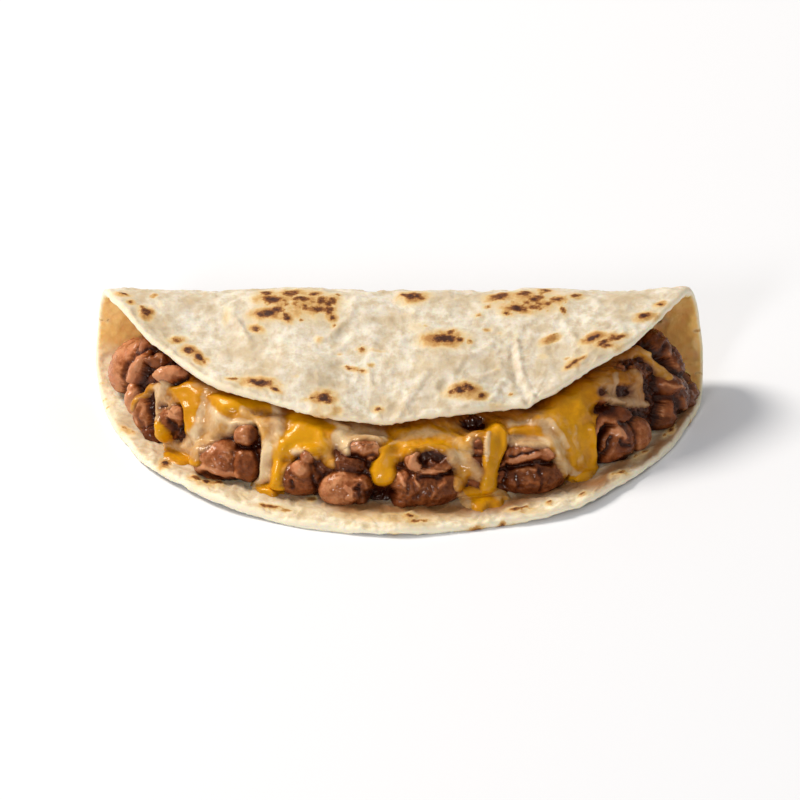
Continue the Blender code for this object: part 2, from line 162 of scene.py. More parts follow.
def curl(across, along):
    """How far up the lower flap's rim is bent."""
    from_middle = np.hypot(across, along - TORTILLA_RADIUS)
    near_rim = ease(1 - (TORTILLA_RADIUS - from_middle) / CURL_WIDTH) * (along < TORTILLA_RADIUS)
    return near_rim * sum(h * bell(np.abs(across - x), r) for x, r, h in RIM_CURLS)


def dough_points(across, along, out):
    """Points of the folded tortilla, this far outward from the middle of its thickness."""
    angle = dough_angle(along)
    out = out + swell(across, along)
    y = np.interp(along, profile_along, profile_y) + out * np.sin(angle)
    z = np.interp(along, profile_along, profile_z) - out * np.cos(angle) + curl(across, along)
    return np.stack([across, y, z], axis=-1)


def grain(points, size, seed=0):
    """Smooth noise, about -1 to 1, whose lumps are this size. Each seed reads it in another place."""
    shift = Vector((17.3 * seed + 0.5, 9.1 * seed, 5.7 * seed))
    return np.array([noise.noise(Vector(p) + shift) for p in (np.asarray(points) / size).tolist()])


# Its flat disc is a square grid pressed round, one sheet for each side, and rings round the rim
GRID = 216
RIM_INSET = 0.4 * MM  # the rim's round starts this far inside the cut edge
RIM_ROUND = RIM_INSET + RIM_OVERHANG
RIM_RINGS = 5
RIM_WANDER, RIM_WANDER_SIZE = 0.25 * MM, 6 * MM  # how far the cut edge strays from its curve
RIM_SEED = 3
# The cut edge as the picture shows it, in pixels: below the upper flap, and round the lower one
FLAP_EDGE = [
    (111, 300), (125, 314), (138, 329), (153, 344), (172, 358), (186, 369), (199, 379), (213, 386),
    (223, 390), (245, 396), (264, 402), (282, 408), (306, 415), (330, 419), (349, 421), (368, 423),
    (385, 426), (393, 425), (402, 423), (420, 420), (439, 417), (469, 414), (489, 411), (512, 409),
    (527, 408), (533, 405), (542, 399), (558, 391), (574, 381), (587, 372), (603, 362), (617, 354),
    (629, 348), (639, 340), (649, 331), (665, 315), (674, 305), (682, 299),
]
LOWER_EDGE = [
    (98, 316), (97, 335), (95, 355), (96, 370), (98, 385), (103, 405), (111, 425), (127, 445), (145, 465),
    (182, 485), (223, 505), (255, 516), (288, 525), (330, 531), (370, 533), (400, 534), (450, 532),
    (503, 525), (545, 517), (584, 505), (619, 485), (651, 465), (675, 445), (689, 425), (701, 405),
    (703, 385), (704, 365), (703, 345), (701, 325),
]
EDGE_ROUND = 3  # pixels from the middle of the dough's edge to its outline
FLAP_MIDDLE, LOWER_MIDDLE = (400, 290), (400, 340)  # pixels well inside either outline
AT_EDGE = 0.01  # the cut edge is looked for this near the middle of the dough's thickness
FLAP_TOP, LOWER_TOP = 0.52, 0.5  # the shares of the fold from which the dough of either side shows
HALVINGS = 24

sides = np.linspace(-1, 1, GRID + 1)
square_a, square_b = np.meshgrid(sides, sides, indexing="ij")
unit_across = (square_a * np.sqrt(1 - square_b**2 / 2)).ravel()
unit_along = (square_b * np.sqrt(1 - square_a**2 / 2)).ravel()


def dough_under(column, row, side):
    """(across, along) of the dough that shows at a pixel: side 1 is its outside, on the upper flap,
    side -1 its inside, on the lower flap and up the fold, and a part of either is nearer its middle."""
    low = FOLD_START + FOLD_LENGTH * (FLAP_TOP if side > 0 else LOWER_TOP)
    high = profile_along[-1 if side > 0 else 0]
    across = (column - PICTURE_MIDDLE) * PIXEL
    for _ in range(HALVINGS):
        along = (low + high) / 2
        place = dough_points(np.array(across), np.array(along), side * DOUGH_THICKNESS / 2)
        across = (column - PICTURE_MIDDLE) * PIXEL * ((place - camera_place) @ away) / CAMERA_DISTANCE
        if in_picture(place)[1] < row:
            low = along
        else:
            high = along
    return across, along


edge_bearings, edge_reaches = [], []
for side, outline, middle in ((AT_EDGE, FLAP_EDGE, FLAP_MIDDLE), (-AT_EDGE, LOWER_EDGE, LOWER_MIDDLE)):
    for column, row in outline:
        inward = np.subtract(middle, (column, row)) / math.dist(middle, (column, row))
        x, s = dough_under(column + EDGE_ROUND * inward[0], row + EDGE_ROUND * inward[1], side)
        edge_bearings.append(math.atan2(x / ROUNDNESS, s - TORTILLA_RADIUS))
        edge_reaches.append(math.hypot(x / ROUNDNESS, s - TORTILLA_RADIUS) - TORTILLA_RADIUS)
edge_reaches = np.array(edge_reaches)[np.argsort(edge_bearings)]
edge_bearings = np.sort(edge_bearings)


def disc_place(unit_x, unit_y, grown):
    """(across, along) on the flat tortilla of a point of the unit disc. grown widens the disc."""
    around = np.arctan2(unit_x, unit_y)
    reach = unit_x**2 + unit_y**2
    edge = np.stack([np.sin(around), np.cos(around), 0 * around], axis=-1) * TORTILLA_RADIUS
    wave = np.interp(around, edge_bearings, edge_reaches, period=2 * math.pi)
    wave = wave + RIM_WANDER * grain(edge, RIM_WANDER_SIZE, RIM_SEED)
    radius = TORTILLA_RADIUS + grown + wave * reach
    return unit_x * radius * ROUNDNESS, TORTILLA_RADIUS + unit_y * radius


# Griddle spots that show: (column, row, half width, half height, turn in degrees, depth of toast).
# From a depth of about 0.6 on, a spot's middle is scorched.
FLAP_SPOTS = [
    (266, 295, 6, 2.4, 0, 1.0), (272, 301, 10, 3.4, -3, 1.2), (291, 295, 9, 3.0, 6, 0.95),
    (301, 301, 10, 2.6, -6, 1.0), (314, 296, 6, 2.4, 0, 0.9), (322, 302, 6, 3.6, 20, 0.95),
    (331, 304, 6, 4.4, 30, 1.0), (266, 315, 9.5, 3.6, 3, 1.3), (278, 311, 7, 3.0, -10, 1.0),
    (286, 319, 4.6, 3.2, -30, 1.2), (306, 310, 6, 3, 0, 0.75), (318, 311, 7, 3.4, 0, 1.0),
    (329, 312, 5, 4.6, 0, 1.05), (332, 319, 3.6, 3, 0, 1.0), (334, 327, 2.6, 2.4, 0, 0.7),
    (283, 303, 5, 2, 0, 0.8), (256, 330, 4.6, 2.6, -15, 1.1), (338, 297, 4, 2, 0, 0.6),
    (296, 306, 5, 2, 0, 0.6), (413, 298, 9, 3.6, 3, 1.1), (421, 300, 5, 2.4, 0, 0.7),
    (404, 296, 4, 2, 0, 0.8), (498, 299, 9, 3.4, 6, 0.95), (503, 296, 6, 2, 0, 0.95),
    (524, 295, 8, 2.8, 0, 0.95), (546, 292, 6, 2, -8, 1.0), (536, 300, 8, 3.6, 10, 0.9),
    (518, 310, 11, 3.0, -5, 1.1), (507, 315, 5, 1.8, -10, 0.9), (536, 308, 9, 3.2, 15, 0.9),
    (558, 301, 6, 2.6, 0, 1.0), (563, 311, 3, 5, 25, 0.7), (576, 297, 6, 2, 8, 0.9),
    (488, 308, 3.2, 1.8, 0, 0.7), (478, 316, 4, 1.6, 0, 0.6), (528, 304, 5, 2.4, 0, 0.7),
    (549, 305, 5, 2.2, 20, 0.75), (444, 340, 13, 4.2, 0, 1.35), (451, 333, 5, 2.4, 10, 0.9),
    (437, 342, 6, 2.8, 0, 0.9), (459, 341, 6, 3, -10, 0.9), (469, 343, 4, 2.4, -20, 0.6),
    (462, 391, 10, 3.8, 6, 1.3), (470, 388, 7, 3, -25, 1.0), (452, 393, 6, 2.2, 5, 0.9),
    (481, 397, 4.6, 2.4, 15, 1.1), (593, 339, 7.5, 3.0, 16, 1.3), (603, 344, 6, 3, 25, 1.0),
    (611, 340, 5, 3.4, 35, 1.0), (619, 339, 7, 2.4, 20, 0.9), (606, 347, 7, 2.2, 0, 0.8),
    (568, 368, 4, 1.9, 25, 1.0), (575, 363, 5, 1.8, 30, 1.05), (582, 359, 3.6, 1.4, 25, 0.95),
    (567, 359, 3, 1.3, 0, 0.6), (645, 317, 7, 2.6, 12, 1.2), (660, 305, 4, 2, 15, 1.0),
    (675, 289, 4, 1.2, 0, 0.6), (259, 384, 12, 3.4, -8, 1.15), (269, 383, 5, 2, 10, 0.9),
    (275, 391, 5.5, 1.8, -20, 1.0), (233, 380, 5.5, 1.5, 0, 0.85), (324, 399, 7.5, 4.6, 0, 1.25),
    (313, 399, 5, 1.6, 10, 0.7), (328, 403, 5, 2.6, 0, 0.8), (378, 410, 4, 2.2, -10, 0.95),
    (177, 341, 6, 2.6, 0, 0.95), (189, 352, 5, 3.2, -15, 1.35), (199, 359, 4.8, 3.2, -40, 1.25),
    (204, 363, 3, 2.4, 0, 0.8), (146, 313, 5, 3.6, -25, 1.25), (142, 308, 3.4, 2, -30, 0.8),
    (123, 294, 5, 1.8, -8, 0.9), (131, 302, 3, 2, -10, 0.9), (362, 350, 3.6, 2.8, 0, 0.75),
    (349, 368, 5, 1.5, -12, 0.75), (360, 371, 6, 1.6, -12, 0.75), (547, 341, 6, 1.6, 22, 0.55),
    (554, 336, 5, 1.4, 20, 0.5), (511, 394, 3, 1.5, 0, 0.55), (425, 327, 5, 1.6, 0, 0.3),
    (497, 371, 4, 1.4, 0, 0.3),
]
# Wide soft toast round them, and faint tan marks by themselves
FLAP_HALOS = [
    (299, 304, 44, 18, 0, 0.46), (268, 302, 16, 10, 0, 0.42), (326, 308, 16, 11, 0, 0.44),
    (267, 315, 14, 6, 0, 0.3), (526, 302, 42, 14, 0, 0.44), (520, 309, 16, 6, 0, 0.3),
    (560, 305, 10, 10, 0, 0.2), (413, 299, 14, 6, 0, 0.4), (449, 341, 25, 10, -3, 0.42),
    (468, 343, 9, 6, 0, 0.34), (256, 330, 7, 4, 0, 0.3), (468, 395, 20, 8, -6, 0.42),
    (484, 400, 9, 4, 0, 0.3), (605, 343, 24, 9, 12, 0.42), (617, 346, 9, 6, 0, 0.4),
    (574, 364, 12, 7, 25, 0.36), (645, 317, 10, 4.5, 12, 0.34), (660, 305, 7, 4, 15, 0.24),
    (674, 289, 8, 3, 0, 0.4), (260, 386, 18, 7, -8, 0.36), (275, 391, 9, 4, -20, 0.3),
    (324, 401, 14, 9, 0, 0.36), (307, 400, 10, 3, 8, 0.34), (336, 411, 11, 7, -10, 0.36),
    (318, 410, 9, 4, 0, 0.3), (378, 410, 7, 4, 0, 0.2), (177, 342, 9, 5, 0, 0.4),
    (193, 356, 14, 7, -38, 0.4), (206, 361, 6, 5, -30, 0.42), (146, 312, 8, 5, -25, 0.34),
    (123, 294, 8, 3, -8, 0.3), (154, 297, 5, 2.4, 0, 0.5), (159, 305, 5, 5, 0, 0.2),
    (319, 341, 6, 5, 0, 0.3), (363, 350, 6, 5, 0, 0.3), (378, 351, 11, 2.4, -4, 0.34),
    (339, 354, 5, 2.4, 0, 0.3), (356, 370, 14, 3, -12, 0.42), (371, 366, 5, 3, 0, 0.42),
    (550, 340, 14, 5, 18, 0.5), (543, 357, 6, 4, 0, 0.34), (487, 330, 5, 2.4, 0, 0.5),
    (500, 333, 4, 2.4, 0, 0.34), (515, 336, 5, 3, 0, 0.24), (511, 394, 5, 2.4, 0, 0.3),
    (417, 328, 16, 8, 0, 0.22), (408, 316, 12, 6, 0, 0.16), (226, 318, 5, 11, -10, 0.3),
    (296, 377, 4, 2, 0, 0.34), (392, 361, 14, 7, 0, 0.16), (497, 406, 12, 4, 0, 0.34),
    (425, 365, 12, 6, 0, 0.18), (280, 350, 22, 8, 0, 0.12), (200, 335, 12, 9, 0, 0.12),
    (560, 380, 10, 6, 30, 0.12),
]
# The same on the lower flap, round the beans
LOWER_SPOTS = [
    (165, 464, 3.6, 2.6, -20, 1.4), (196, 479, 5, 1.7, -18, 1.0), (206, 482, 4, 1.8, -20, 1.1),
    (218, 484, 5, 1.5, -4, 1.0), (211, 484, 6, 1.4, -10, 0.7), (270, 508, 11, 1.4, -5, 0.8),
    (263, 507, 4, 1.6, -5, 0.9), (285, 511, 8, 1.5, -3, 0.55), (392, 515, 8, 1.4, 0, 0.5),
    (410, 517, 4.6, 2.0, -8, 1.1), (416, 522, 5, 1.8, -4, 0.95), (424, 522, 4, 1.5, 0, 0.8),
    (516, 511, 7, 1.6, 6, 1.0), (524, 508, 5, 1.4, 10, 0.8), (530, 509, 3, 1.2, 0, 0.6),
    (549, 502, 3, 1.7, 8, 0.75), (582, 494, 3.4, 1.3, 14, 0.8), (621, 473, 4.4, 2.0, 20, 1.0),
    (613, 476, 3, 1.4, 20, 0.7), (645, 453, 4, 1.2, 22, 0.9), (636, 457, 3, 1.2, 25, 0.7),
    (671, 431, 2.8, 2.4, 45, 1.05), (665, 436, 3, 1.8, 45, 0.7), (673, 427, 2, 1.6, 0, 0.7),
    (698, 373, 2.2, 1.8, 0, 0.5), (696, 330, 2.4, 2.0, 0, 0.5), (103, 320, 1.2, 1.4, 0, 0.45),
    (103, 328, 1.2, 1.4, 0, 0.4), (103, 384, 1.8, 1.4, 0, 0.35), (106, 399, 1.6, 1.2, 0, 0.35),
    (110, 408, 1.8, 1.3, 0, 0.35), (108, 304, 1.6, 1.2, 0, 0.4), (124, 429, 4, 1.6, -20, 0.55),
    (133, 434, 4, 2, -30, 0.5),
]
LOWER_HALOS = [
    (208, 483, 22, 6, -14, 0.4), (272, 509, 22, 4, -4, 0.3), (311, 500, 6, 4, 0, 0.62),
    (313, 498, 4, 2.4, 0, 0.5), (398, 516, 20, 3.4, 0, 0.3), (416, 521, 14, 4.4, 0, 0.36),
    (522, 510, 18, 4, 6, 0.44), (549, 503, 6, 3, 0, 0.34), (584, 494, 8, 3, 14, 0.34),
    (619, 474, 10, 4, 22, 0.34), (128, 432, 11, 4, -32, 0.44), (106, 404, 6, 8, 0, 0.2),
    (165, 464, 7, 4, -20, 0.24), (345, 516, 16, 3, 0, 0.2), (470, 520, 20, 4, 0, 0.2),
    (243, 497, 12, 4, -12, 0.24), (640, 458, 14, 4, 28, 0.24), (671, 431, 6, 5, 45, 0.24),
    (560, 515, 20, 3, 12, 0.28), (600, 500, 18, 3, 20, 0.24), (300, 527, 26, 2.6, -6, 0.24),
    (696, 350, 4, 16, 0, 0.2),
]
# Blistered patches of many small flecks: (column, row, half width, half height, how many)
FLAP_PATCHES = [(300, 306, 40, 16, 34), (528, 303, 40, 11, 30), (606, 343, 17, 6, 8), (449, 340, 16, 6, 6)]
PATCH_SEED = 21
FLECK_SIZES = (1.4, 3.6)  # half of its width, in pixels
FLECK_SLIMS = (0.4, 0.7)  # its height as a share of its width
FLECK_TURNS = (-35, 35)
FLECK_DEPTHS = (0.4, 0.5, 0.6, 0.8)
FLECK_MIDDLE, FLECK_FADE = 1.1, 0.35  # shares of its depth: in a patch's middle, and what its edge takes off
# On the back, the underside and the inside, which the picture doesn't show:
# (seed, how many, how many flecks a blistered patch has, one of these at a time)
BACK_SPOTS = (8, 260, (1, 2, 5, 20))
INSIDE_SPOTS = (9, 150, (1, 1, 2, 4, 9))
BACK_END, INSIDE_START = 0.42, 0.45  # shares of the fold up to which, and from which, those two lie
HIDDEN_REACH = 0.97  # patches lie within this share of the dough's radius
PATCH_SPREAD, SPREAD_PER_FLECK = 4, 0.15  # in mm
HIDDEN_SIZES, HIDDEN_STRETCH, HIDDEN_TURNS = (0.6, 2.3), (1, 1.8), (0, 3)  # the sizes are in mm
HIDDEN_DEPTHS = (0.35, 0.5, 0.75, 1.0)
SPOT_REACH = 1.65  # the toast round a spot fades out at this many times its size
LARGEST_SPOT = 30 * MM  # no spot's toast reaches further than this
HALO_SPREAD, HALO_SHARE = 2.1, 0.5  # how much wider and paler the soft toast round each spot is
FLATTEST_SIGHT = 0.42  # spots seen more edge-on than this aren't stretched any further


def spot_axes(half_width, half_length, turn):
    """A map to units of a spot's own size, from places about its middle."""
    c, s = math.cos(turn), math.sin(turn)
    return np.array([[c / half_width, -s / half_width], [s / half_length, c / half_length]])


def picture_spot(column, row, half_width, half_height, turn, depth, side):
    """A spot of a table as (across, along, map from the dough to units of its size, depth)."""
    across, along = dough_under(column, row, side)
    steps = np.array([[0, 0], [MM, 0], [0, MM]]) + (across, along)
    columns, rows = in_picture(dough_points(steps[:, 0], steps[:, 1], side * DOUGH_THICKNESS / 2))
    seen = np.array([[columns[1] - columns[0], columns[2] - columns[0]],
                     [rows[1] - rows[0], rows[2] - rows[0]]]) / MM
    along_seen = np.linalg.norm(seen[:, 1])
    seen[:, 1] *= max(FLATTEST_SIGHT / PIXEL / along_seen, 1)
    return across, along, spot_axes(half_width, half_height, math.radians(turn)) @ seen, depth


def patch_spots(patches, dice):
    """The flecks of blistered patches, as rows of a table of spots."""
    spots = []
    for column, row, half_width, half_height, count in patches:
        for _ in range(count):
            reach, way = math.sqrt(dice.random()), dice.uniform(0, 2 * math.pi)
            size = dice.uniform(*FLECK_SIZES)
            spots.append((column + half_width * reach * math.cos(way),
                          row + half_height * reach * math.sin(way),
                          size, size * dice.uniform(*FLECK_SLIMS), dice.uniform(*FLECK_TURNS),
                          dice.choice(FLECK_DEPTHS) * (FLECK_MIDDLE - FLECK_FADE * reach)))
    return spots


def hidden_spots(seed, count, families, hides):
    """Spots anywhere on a sheet where hides(along) is true, in small patches."""
    dice = random.Random(seed)
    spots = []
    while len(spots) < count:
        way = dice.uniform(0, 2 * math.pi)
        reach = TORTILLA_RADIUS * math.sqrt(dice.random()) * HIDDEN_REACH
        across, along = reach * math.sin(way), TORTILLA_RADIUS + reach * math.cos(way)
        family = dice.choice(families)
        spread = (PATCH_SPREAD + SPREAD_PER_FLECK * family) * MM
        for _ in range(family):
            x, s = across + dice.gauss(0, spread), along + dice.gauss(0, spread)
            size = dice.uniform(*HIDDEN_SIZES) * MM
            if hides(s):
                axes = spot_axes(size * dice.uniform(*HIDDEN_STRETCH), size, dice.uniform(*HIDDEN_TURNS))
                spots.append((x, s, axes, dice.choice(HIDDEN_DEPTHS)))
    return spots


def heat_of(spots, across, along):
    """How deeply the dough is toasted: 0 is pale, and from about 0.6 on it is scorched."""
    heat = np.zeros_like(across)
    for x, s, own, depth in spots:
        near = np.abs(across - x) + np.abs(along - s) < LARGEST_SPOT
        dx, ds = across[near] - x, along[near] - s
        apart = np.hypot(own[0, 0] * dx + own[0, 1] * ds, own[1, 0] * dx + own[1, 1] * ds)
        heat[near] = np.maximum(heat[near], depth * bell(apart, SPOT_REACH))
    return heat


across, along = disc_place(unit_across, unit_along, -RIM_INSET)
flat_places = np.stack([across, along, 0 * across], axis=-1)
shown_flecks = patch_spots(FLAP_PATCHES, random.Random(PATCH_SEED))
outside_spots = [picture_spot(*spot, 1) for spot in FLAP_SPOTS + shown_flecks]
inside_spots = [picture_spot(*spot, -1) for spot in LOWER_SPOTS]
outside_halos = [picture_spot(*spot, 1) for spot in FLAP_HALOS]
inside_halos = [picture_spot(*spot, -1) for spot in LOWER_HALOS]
for spots, halos, hidden, hides in (
    (outside_spots, outside_halos, BACK_SPOTS, lambda s: s < FOLD_START + FOLD_LENGTH * BACK_END),
    (inside_spots, inside_halos, INSIDE_SPOTS, lambda s: s > FOLD_START + FOLD_LENGTH * INSIDE_START),
):
    spots += hidden_spots(*hidden, hides)
    halos += [(x, s, own / HALO_SPREAD, depth * HALO_SHARE) for x, s, own, depth in spots]

# The dough's relief: long undulations, creases as in crumpled paper, and blisters under the spots
UNDULATION = MM * np.array([(15, 0.48), (6.5, 0.28), (3.1, 0.22), (1.7, 0.15)])  # (size, height) in mm
CREASES = MM * np.array([(9, 0.42), (4.4, 0.32)])
CREASE_SHARP, CREASE_WANDER = 5, 0.5
RELIEF_SEED = 10
INSIDE_ROUGHER = 1.6  # the inside, round the beans, is more uneven
RELIEF_FULL, RELIEF_PAST = 0.5 * MM, 0.4  # relief higher than this keeps only a share of the rest
BLISTER_HEIGHT = 0.22 * MM
BLISTER_FULL = 0.5  # the depth of toast from which a blister is that high
# Folds pressed into the flap: (line of pixels, how far it stands up in mm, half its width in mm)
FLAP_FOLDS = [
    ([(511, 346), (513, 366), (517, 382), (523, 393), (528, 402)], -0.85, 1.3),
    ([(516, 341), (519, 358), (522, 374), (527, 386), (534, 398)], 0.8, 1.3),
    ([(489, 346), (499, 362), (506, 380)], 0.4, 1.8),
    ([(393, 424), (404, 406), (425, 375)], 0.6, 2.0),
    ([(356, 298), (352, 312), (346, 323), (332, 335), (318, 341)], 0.6, 1.8),
    ([(234, 303), (232, 318), (241, 332), (251, 346)], 0.6, 1.9),
    ([(238, 322), (247, 341)], 0.5, 1.5),
    ([(211, 372), (226, 384), (246, 393)], 0.35, 2.4),
    ([(516, 379), (534, 393), (541, 397)], -0.4, 2.0),
    ([(404, 424), (425, 404), (447, 384)], -0.4, 2.4),
    ([(385, 318), (402, 336), (398, 352)], 0.3, 1.6),
    ([(560, 316), (575, 338), (590, 352)], 0.3, 1.8),
    ([(288, 348), (320, 356), (352, 344)], 0.3, 1.6),
]
# Blisters that the griddle raised: (column, row, half width, half height, turn, height in mm)
FLAP_BLISTERS = [
    (293, 310, 58, 27, 0, 0.9), (527, 304, 50, 16, 0, 0.6), (449, 340, 24, 9, 0, 0.5),
    (468, 393, 20, 8, 0, 0.5), (605, 343, 24, 9, 12, 0.5), (324, 400, 15, 9, 0, 0.5),
    (262, 386, 18, 7, -8, 0.4), (192, 355, 16, 8, -38, 0.5), (147, 312, 9, 6, -25, 0.4),
    (645, 317, 10, 5, 12, 0.4), (413, 299, 14, 7, 0, 0.4), (574, 364, 12, 7, 25, 0.4),
]


def from_stretch(x, y, start, end):
    """The distance of each place to a straight stretch, and how far along it its nearest place is."""
    (x0, y0), (x1, y1) = start, end
    length = math.hypot(x1 - x0, y1 - y0)
    share = np.clip(((x - x0) * (x1 - x0) + (y - y0) * (y1 - y0)) / length**2, 0, 1)
    return np.hypot(x - x0 - share * (x1 - x0), y - y0 - share * (y1 - y0)), share


def from_line(x, y, line):
    """The distance of each place to a line of places, on the flat dough or in the picture."""
    return np.minimum.reduce([from_stretch(x, y, *ends)[0] for ends in zip(line, line[1:])])


def dough_relief(heat, seed):
    """How far a sheet's undulations, creases and blisters stand out."""
    relief = sum(height * grain(flat_places, size, seed) for size, height in UNDULATION)
    for size, height in CREASES:
        seed += 2
        wandering = flat_places + CREASE_WANDER * size * grain(flat_places, size, seed)[:, None]
        relief += height * np.maximum(1 - CREASE_SHARP * np.abs(grain(wandering, size, seed + 1)), 0)
    return relief + BLISTER_HEIGHT * ease(heat / BLISTER_FULL)


def joined(first, second):
    """Faces that join one closed ring of points to the next."""
    return np.stack([first, np.roll(first, -1), np.roll(second, -1), second], axis=-1)


sheets = {}
for side, spots, halos in ((1, outside_spots, outside_halos), (-1, inside_spots, inside_halos)):
    heat = heat_of(spots, across, along)
    relief = dough_relief(heat, RELIEF_SEED + side)
    if side == 1:
        for *oval, height in FLAP_BLISTERS:
            relief += height * MM * heat_of([picture_spot(*oval, 1.0, side)], across, along)
    else:
        relief *= INSIDE_ROUGHER
    relief = np.where(relief > RELIEF_FULL, RELIEF_FULL + (relief - RELIEF_FULL) * RELIEF_PAST, relief)
    if side == 1:
        for line, height, half_width in FLAP_FOLDS:
            places = [dough_under(*pixel, side) for pixel in line]
            relief += height * MM * bell(from_line(across, along, places), half_width * MM)
    sheets[side] = {"scorch": heat, "toast": heat_of(halos, across, along), "relief": relief,
                    "points": dough_points(across, along, side * (DOUGH_THICKNESS / 2 + relief))}

# Both sheets, and the rings that join them round the rim. The made dough has a value for each point.
index = np.arange((GRID + 1) ** 2).reshape(GRID + 1, GRID + 1)
border = np.concatenate([index[:-1, 0], index[-1, :-1], index[:0:-1, -1], index[0, :0:-1]])
corners = [index[:-1, :-1], index[1:, :-1], index[1:, 1:], index[:-1, 1:]]
quads = np.stack([corner.ravel() for corner in corners], axis=-1)
made = {key: [sheets[1][key], sheets[-1][key]] for key in ("points", "scorch", "toast")}
made["inside"] = [np.zeros(index.size), np.ones(index.size)]
made["rim"] = [np.zeros(index.size), np.zeros(index.size)]
faces = [quads[:, ::-1], quads + index.size]
ring_before = border
edge_unit = np.hypot(unit_across[border], unit_along[border])
for ring in range(1, RIM_RINGS + 1):
    turn = math.pi * ring / (RIM_RINGS + 1)
    upper = (1 + math.cos(turn)) / 2
    rim_across, rim_along = disc_place(unit_across[border] / edge_unit, unit_along[border] / edge_unit,
                                       -RIM_INSET + RIM_ROUND * math.sin(turn))
    relief = upper * sheets[1]["relief"][border] - (1 - upper) * sheets[-1]["relief"][border]
    outward = DOUGH_THICKNESS / 2 * math.cos(turn) + relief
    made["points"].append(dough_points(rim_across, rim_along, outward))
    for key in ("scorch", "toast"):
        made[key].append(upper * sheets[1][key][border] + (1 - upper) * sheets[-1][key][border])
    made["inside"].append(np.full(len(border), 1 - upper))
    made["rim"].append(np.full(len(border), math.sin(turn)))
    this_ring = 2 * index.size + (ring - 1) * len(border) + np.arange(len(border))
    faces.append(joined(ring_before, this_ring))
    ring_before = this_ring
faces.append(joined(ring_before, border + index.size))
made = {key: np.concatenate(parts) for key, parts in made.items()}


def linear(srgb):
    """An sRGB hex colour as linear red, green, blue and alpha."""
    parts = [int(srgb[i : i + 2], 16) / 255 for i in (1, 3, 5)]
    return [p / 12.92 if p <= 0.04045 else ((p + 0.055) / 1.055) ** 2.4 for p in parts] + [1.0]


def add(tree, kind, inputs=(), steps=(), **settings):
    """Adds a node with its settings, its colour ramp's steps, and its inputs by name or number: a
    socket is linked, and a value is set."""
    node = tree.nodes.new(kind)
    for name, value in settings.items():
        setattr(node, name, value)
    for name, value in dict(inputs).items():
        if isinstance(value, bpy.types.NodeSocket):
            tree.links.new(value, node.inputs[name])
        else:
            node.inputs[name].default_value = value
    while steps and len(node.color_ramp.elements) < len(steps):
        node.color_ramp.elements.new(0.5)
    for n, (position, colour) in enumerate(steps):
        node.color_ramp.elements[n].position = position
        node.color_ramp.elements[n].color = linear(colour)
    return node


def new_material(name):
    """A material with an empty node tree, and that tree."""
    material = bpy.data.materials.new(name)
    material.use_nodes = True
    material.node_tree.nodes.clear()
    return material, material.node_tree


flour_tortilla, tree = new_material("griddled flour tortilla")
# Matte, cream and a little see-through: light sinks in and softens it. Scorch is brown with broken
# edges, soft golden toast lies round it, grease and a painted glow of light through the dough have
# yellowed the inside, brown juice and painted shade lie round the heap's foot, and dry flour pales the rest.
DOUGH_PALE, DOUGH_CREAM, DOUGH_WARM = "#F8F2E2", "#DFCFB2", "#D2BC96"
DOUGH_OUTSIDE, DOUGH_INSIDE = "#F2EFEC", "#FFFAEE"
DOUGH_OIL_AND_GLOW, DOUGH_JUICE_AND_SHADE, DOUGH_RIM = "#FDC962", "#94602E", "#F8ECD2"
TOAST_STEPS = [(0.10, "#EFDDB2"), (0.26, "#DFB876"), (0.42, "#B67C38"), (0.62, "#7C4416"), (0.95, "#421D0A")]
HALO_SHARE_SHOWN, HALO_MOST = 0.75, 0.44  # how much of the soft toast shows, and how deep it is at most
JUICE_AND_SHADE_MOST = 0.95
MOTTLE_SIZE, BROKEN_SIZE, BLOTCH_SIZE, PATCH_SIZE = 1.0 * MM, 1.8 * MM, 3.6 * MM, 12 * MM

place = add(tree, "ShaderNodeTexCoord").outputs["Object"]
scorch, toast, inside, rim, oil_and_glow, juice_and_shade = [
    add(tree, "ShaderNodeAttribute", attribute_name=name).outputs["Fac"]
    for name in ("scorch", "toast", "inside", "rim", "oil_and_glow", "juice_and_shade")
]
mottle, blotch, patch, broken = [
    add(tree, "ShaderNodeTexNoise", {"Vector": place, "Scale": 1 / size, "Detail": detail,
                                     "Roughness": roughness}).outputs["Fac"]
    for size, detail, roughness in (
        (MOTTLE_SIZE, 3, 0.5), (BLOTCH_SIZE, 5, 0.62), (PATCH_SIZE, 3, 0.5), (BROKEN_SIZE, 4, 0.65)
    )
]
uneven = add(tree, "ShaderNodeMapRange", {"Value": broken, "From Min": 0.32, "From Max": 0.66,
                                          "To Min": 0.42, "To Max": 1.3}).outputs["Result"]
scorched = add(tree, "ShaderNodeMath", {0: scorch, 1: uneven}, operation="MULTIPLY").outputs[0]
softly = add(tree, "ShaderNodeMapRange", {"Value": blotch, "From Min": 0.3, "From Max": 0.7,
                                          "To Min": 0.55, "To Max": 1.4}).outputs["Result"]
softly = add(tree, "ShaderNodeMath", {0: softly, 1: HALO_SHARE_SHOWN}, operation="MULTIPLY").outputs[0]
golden = add(tree, "ShaderNodeMath", {0: toast, 1: softly}, operation="MULTIPLY").outputs[0]
golden = add(tree, "ShaderNodeMath", {0: golden, 1: HALO_MOST}, operation="MINIMUM").outputs[0]
browning = add(tree, "ShaderNodeMath", {0: scorched, 1: golden, 2: 0.08}, operation="SMOOTH_MAX").outputs[0]
floury = add(tree, "ShaderNodeMath", {0: mottle, 1: 0.2, 2: -0.1}, operation="MULTIPLY_ADD").outputs[0]
floury = add(tree, "ShaderNodeMath", {0: floury, 1: blotch}, operation="ADD").outputs[0]
cream = add(tree, "ShaderNodeValToRGB", {"Fac": floury}, [(0.36, DOUGH_CREAM), (0.60, DOUGH_PALE)])
warm = add(tree, "ShaderNodeMapRange", {"Value": patch, "From Min": 0.46, "From Max": 0.68, "To Max": 0.7})
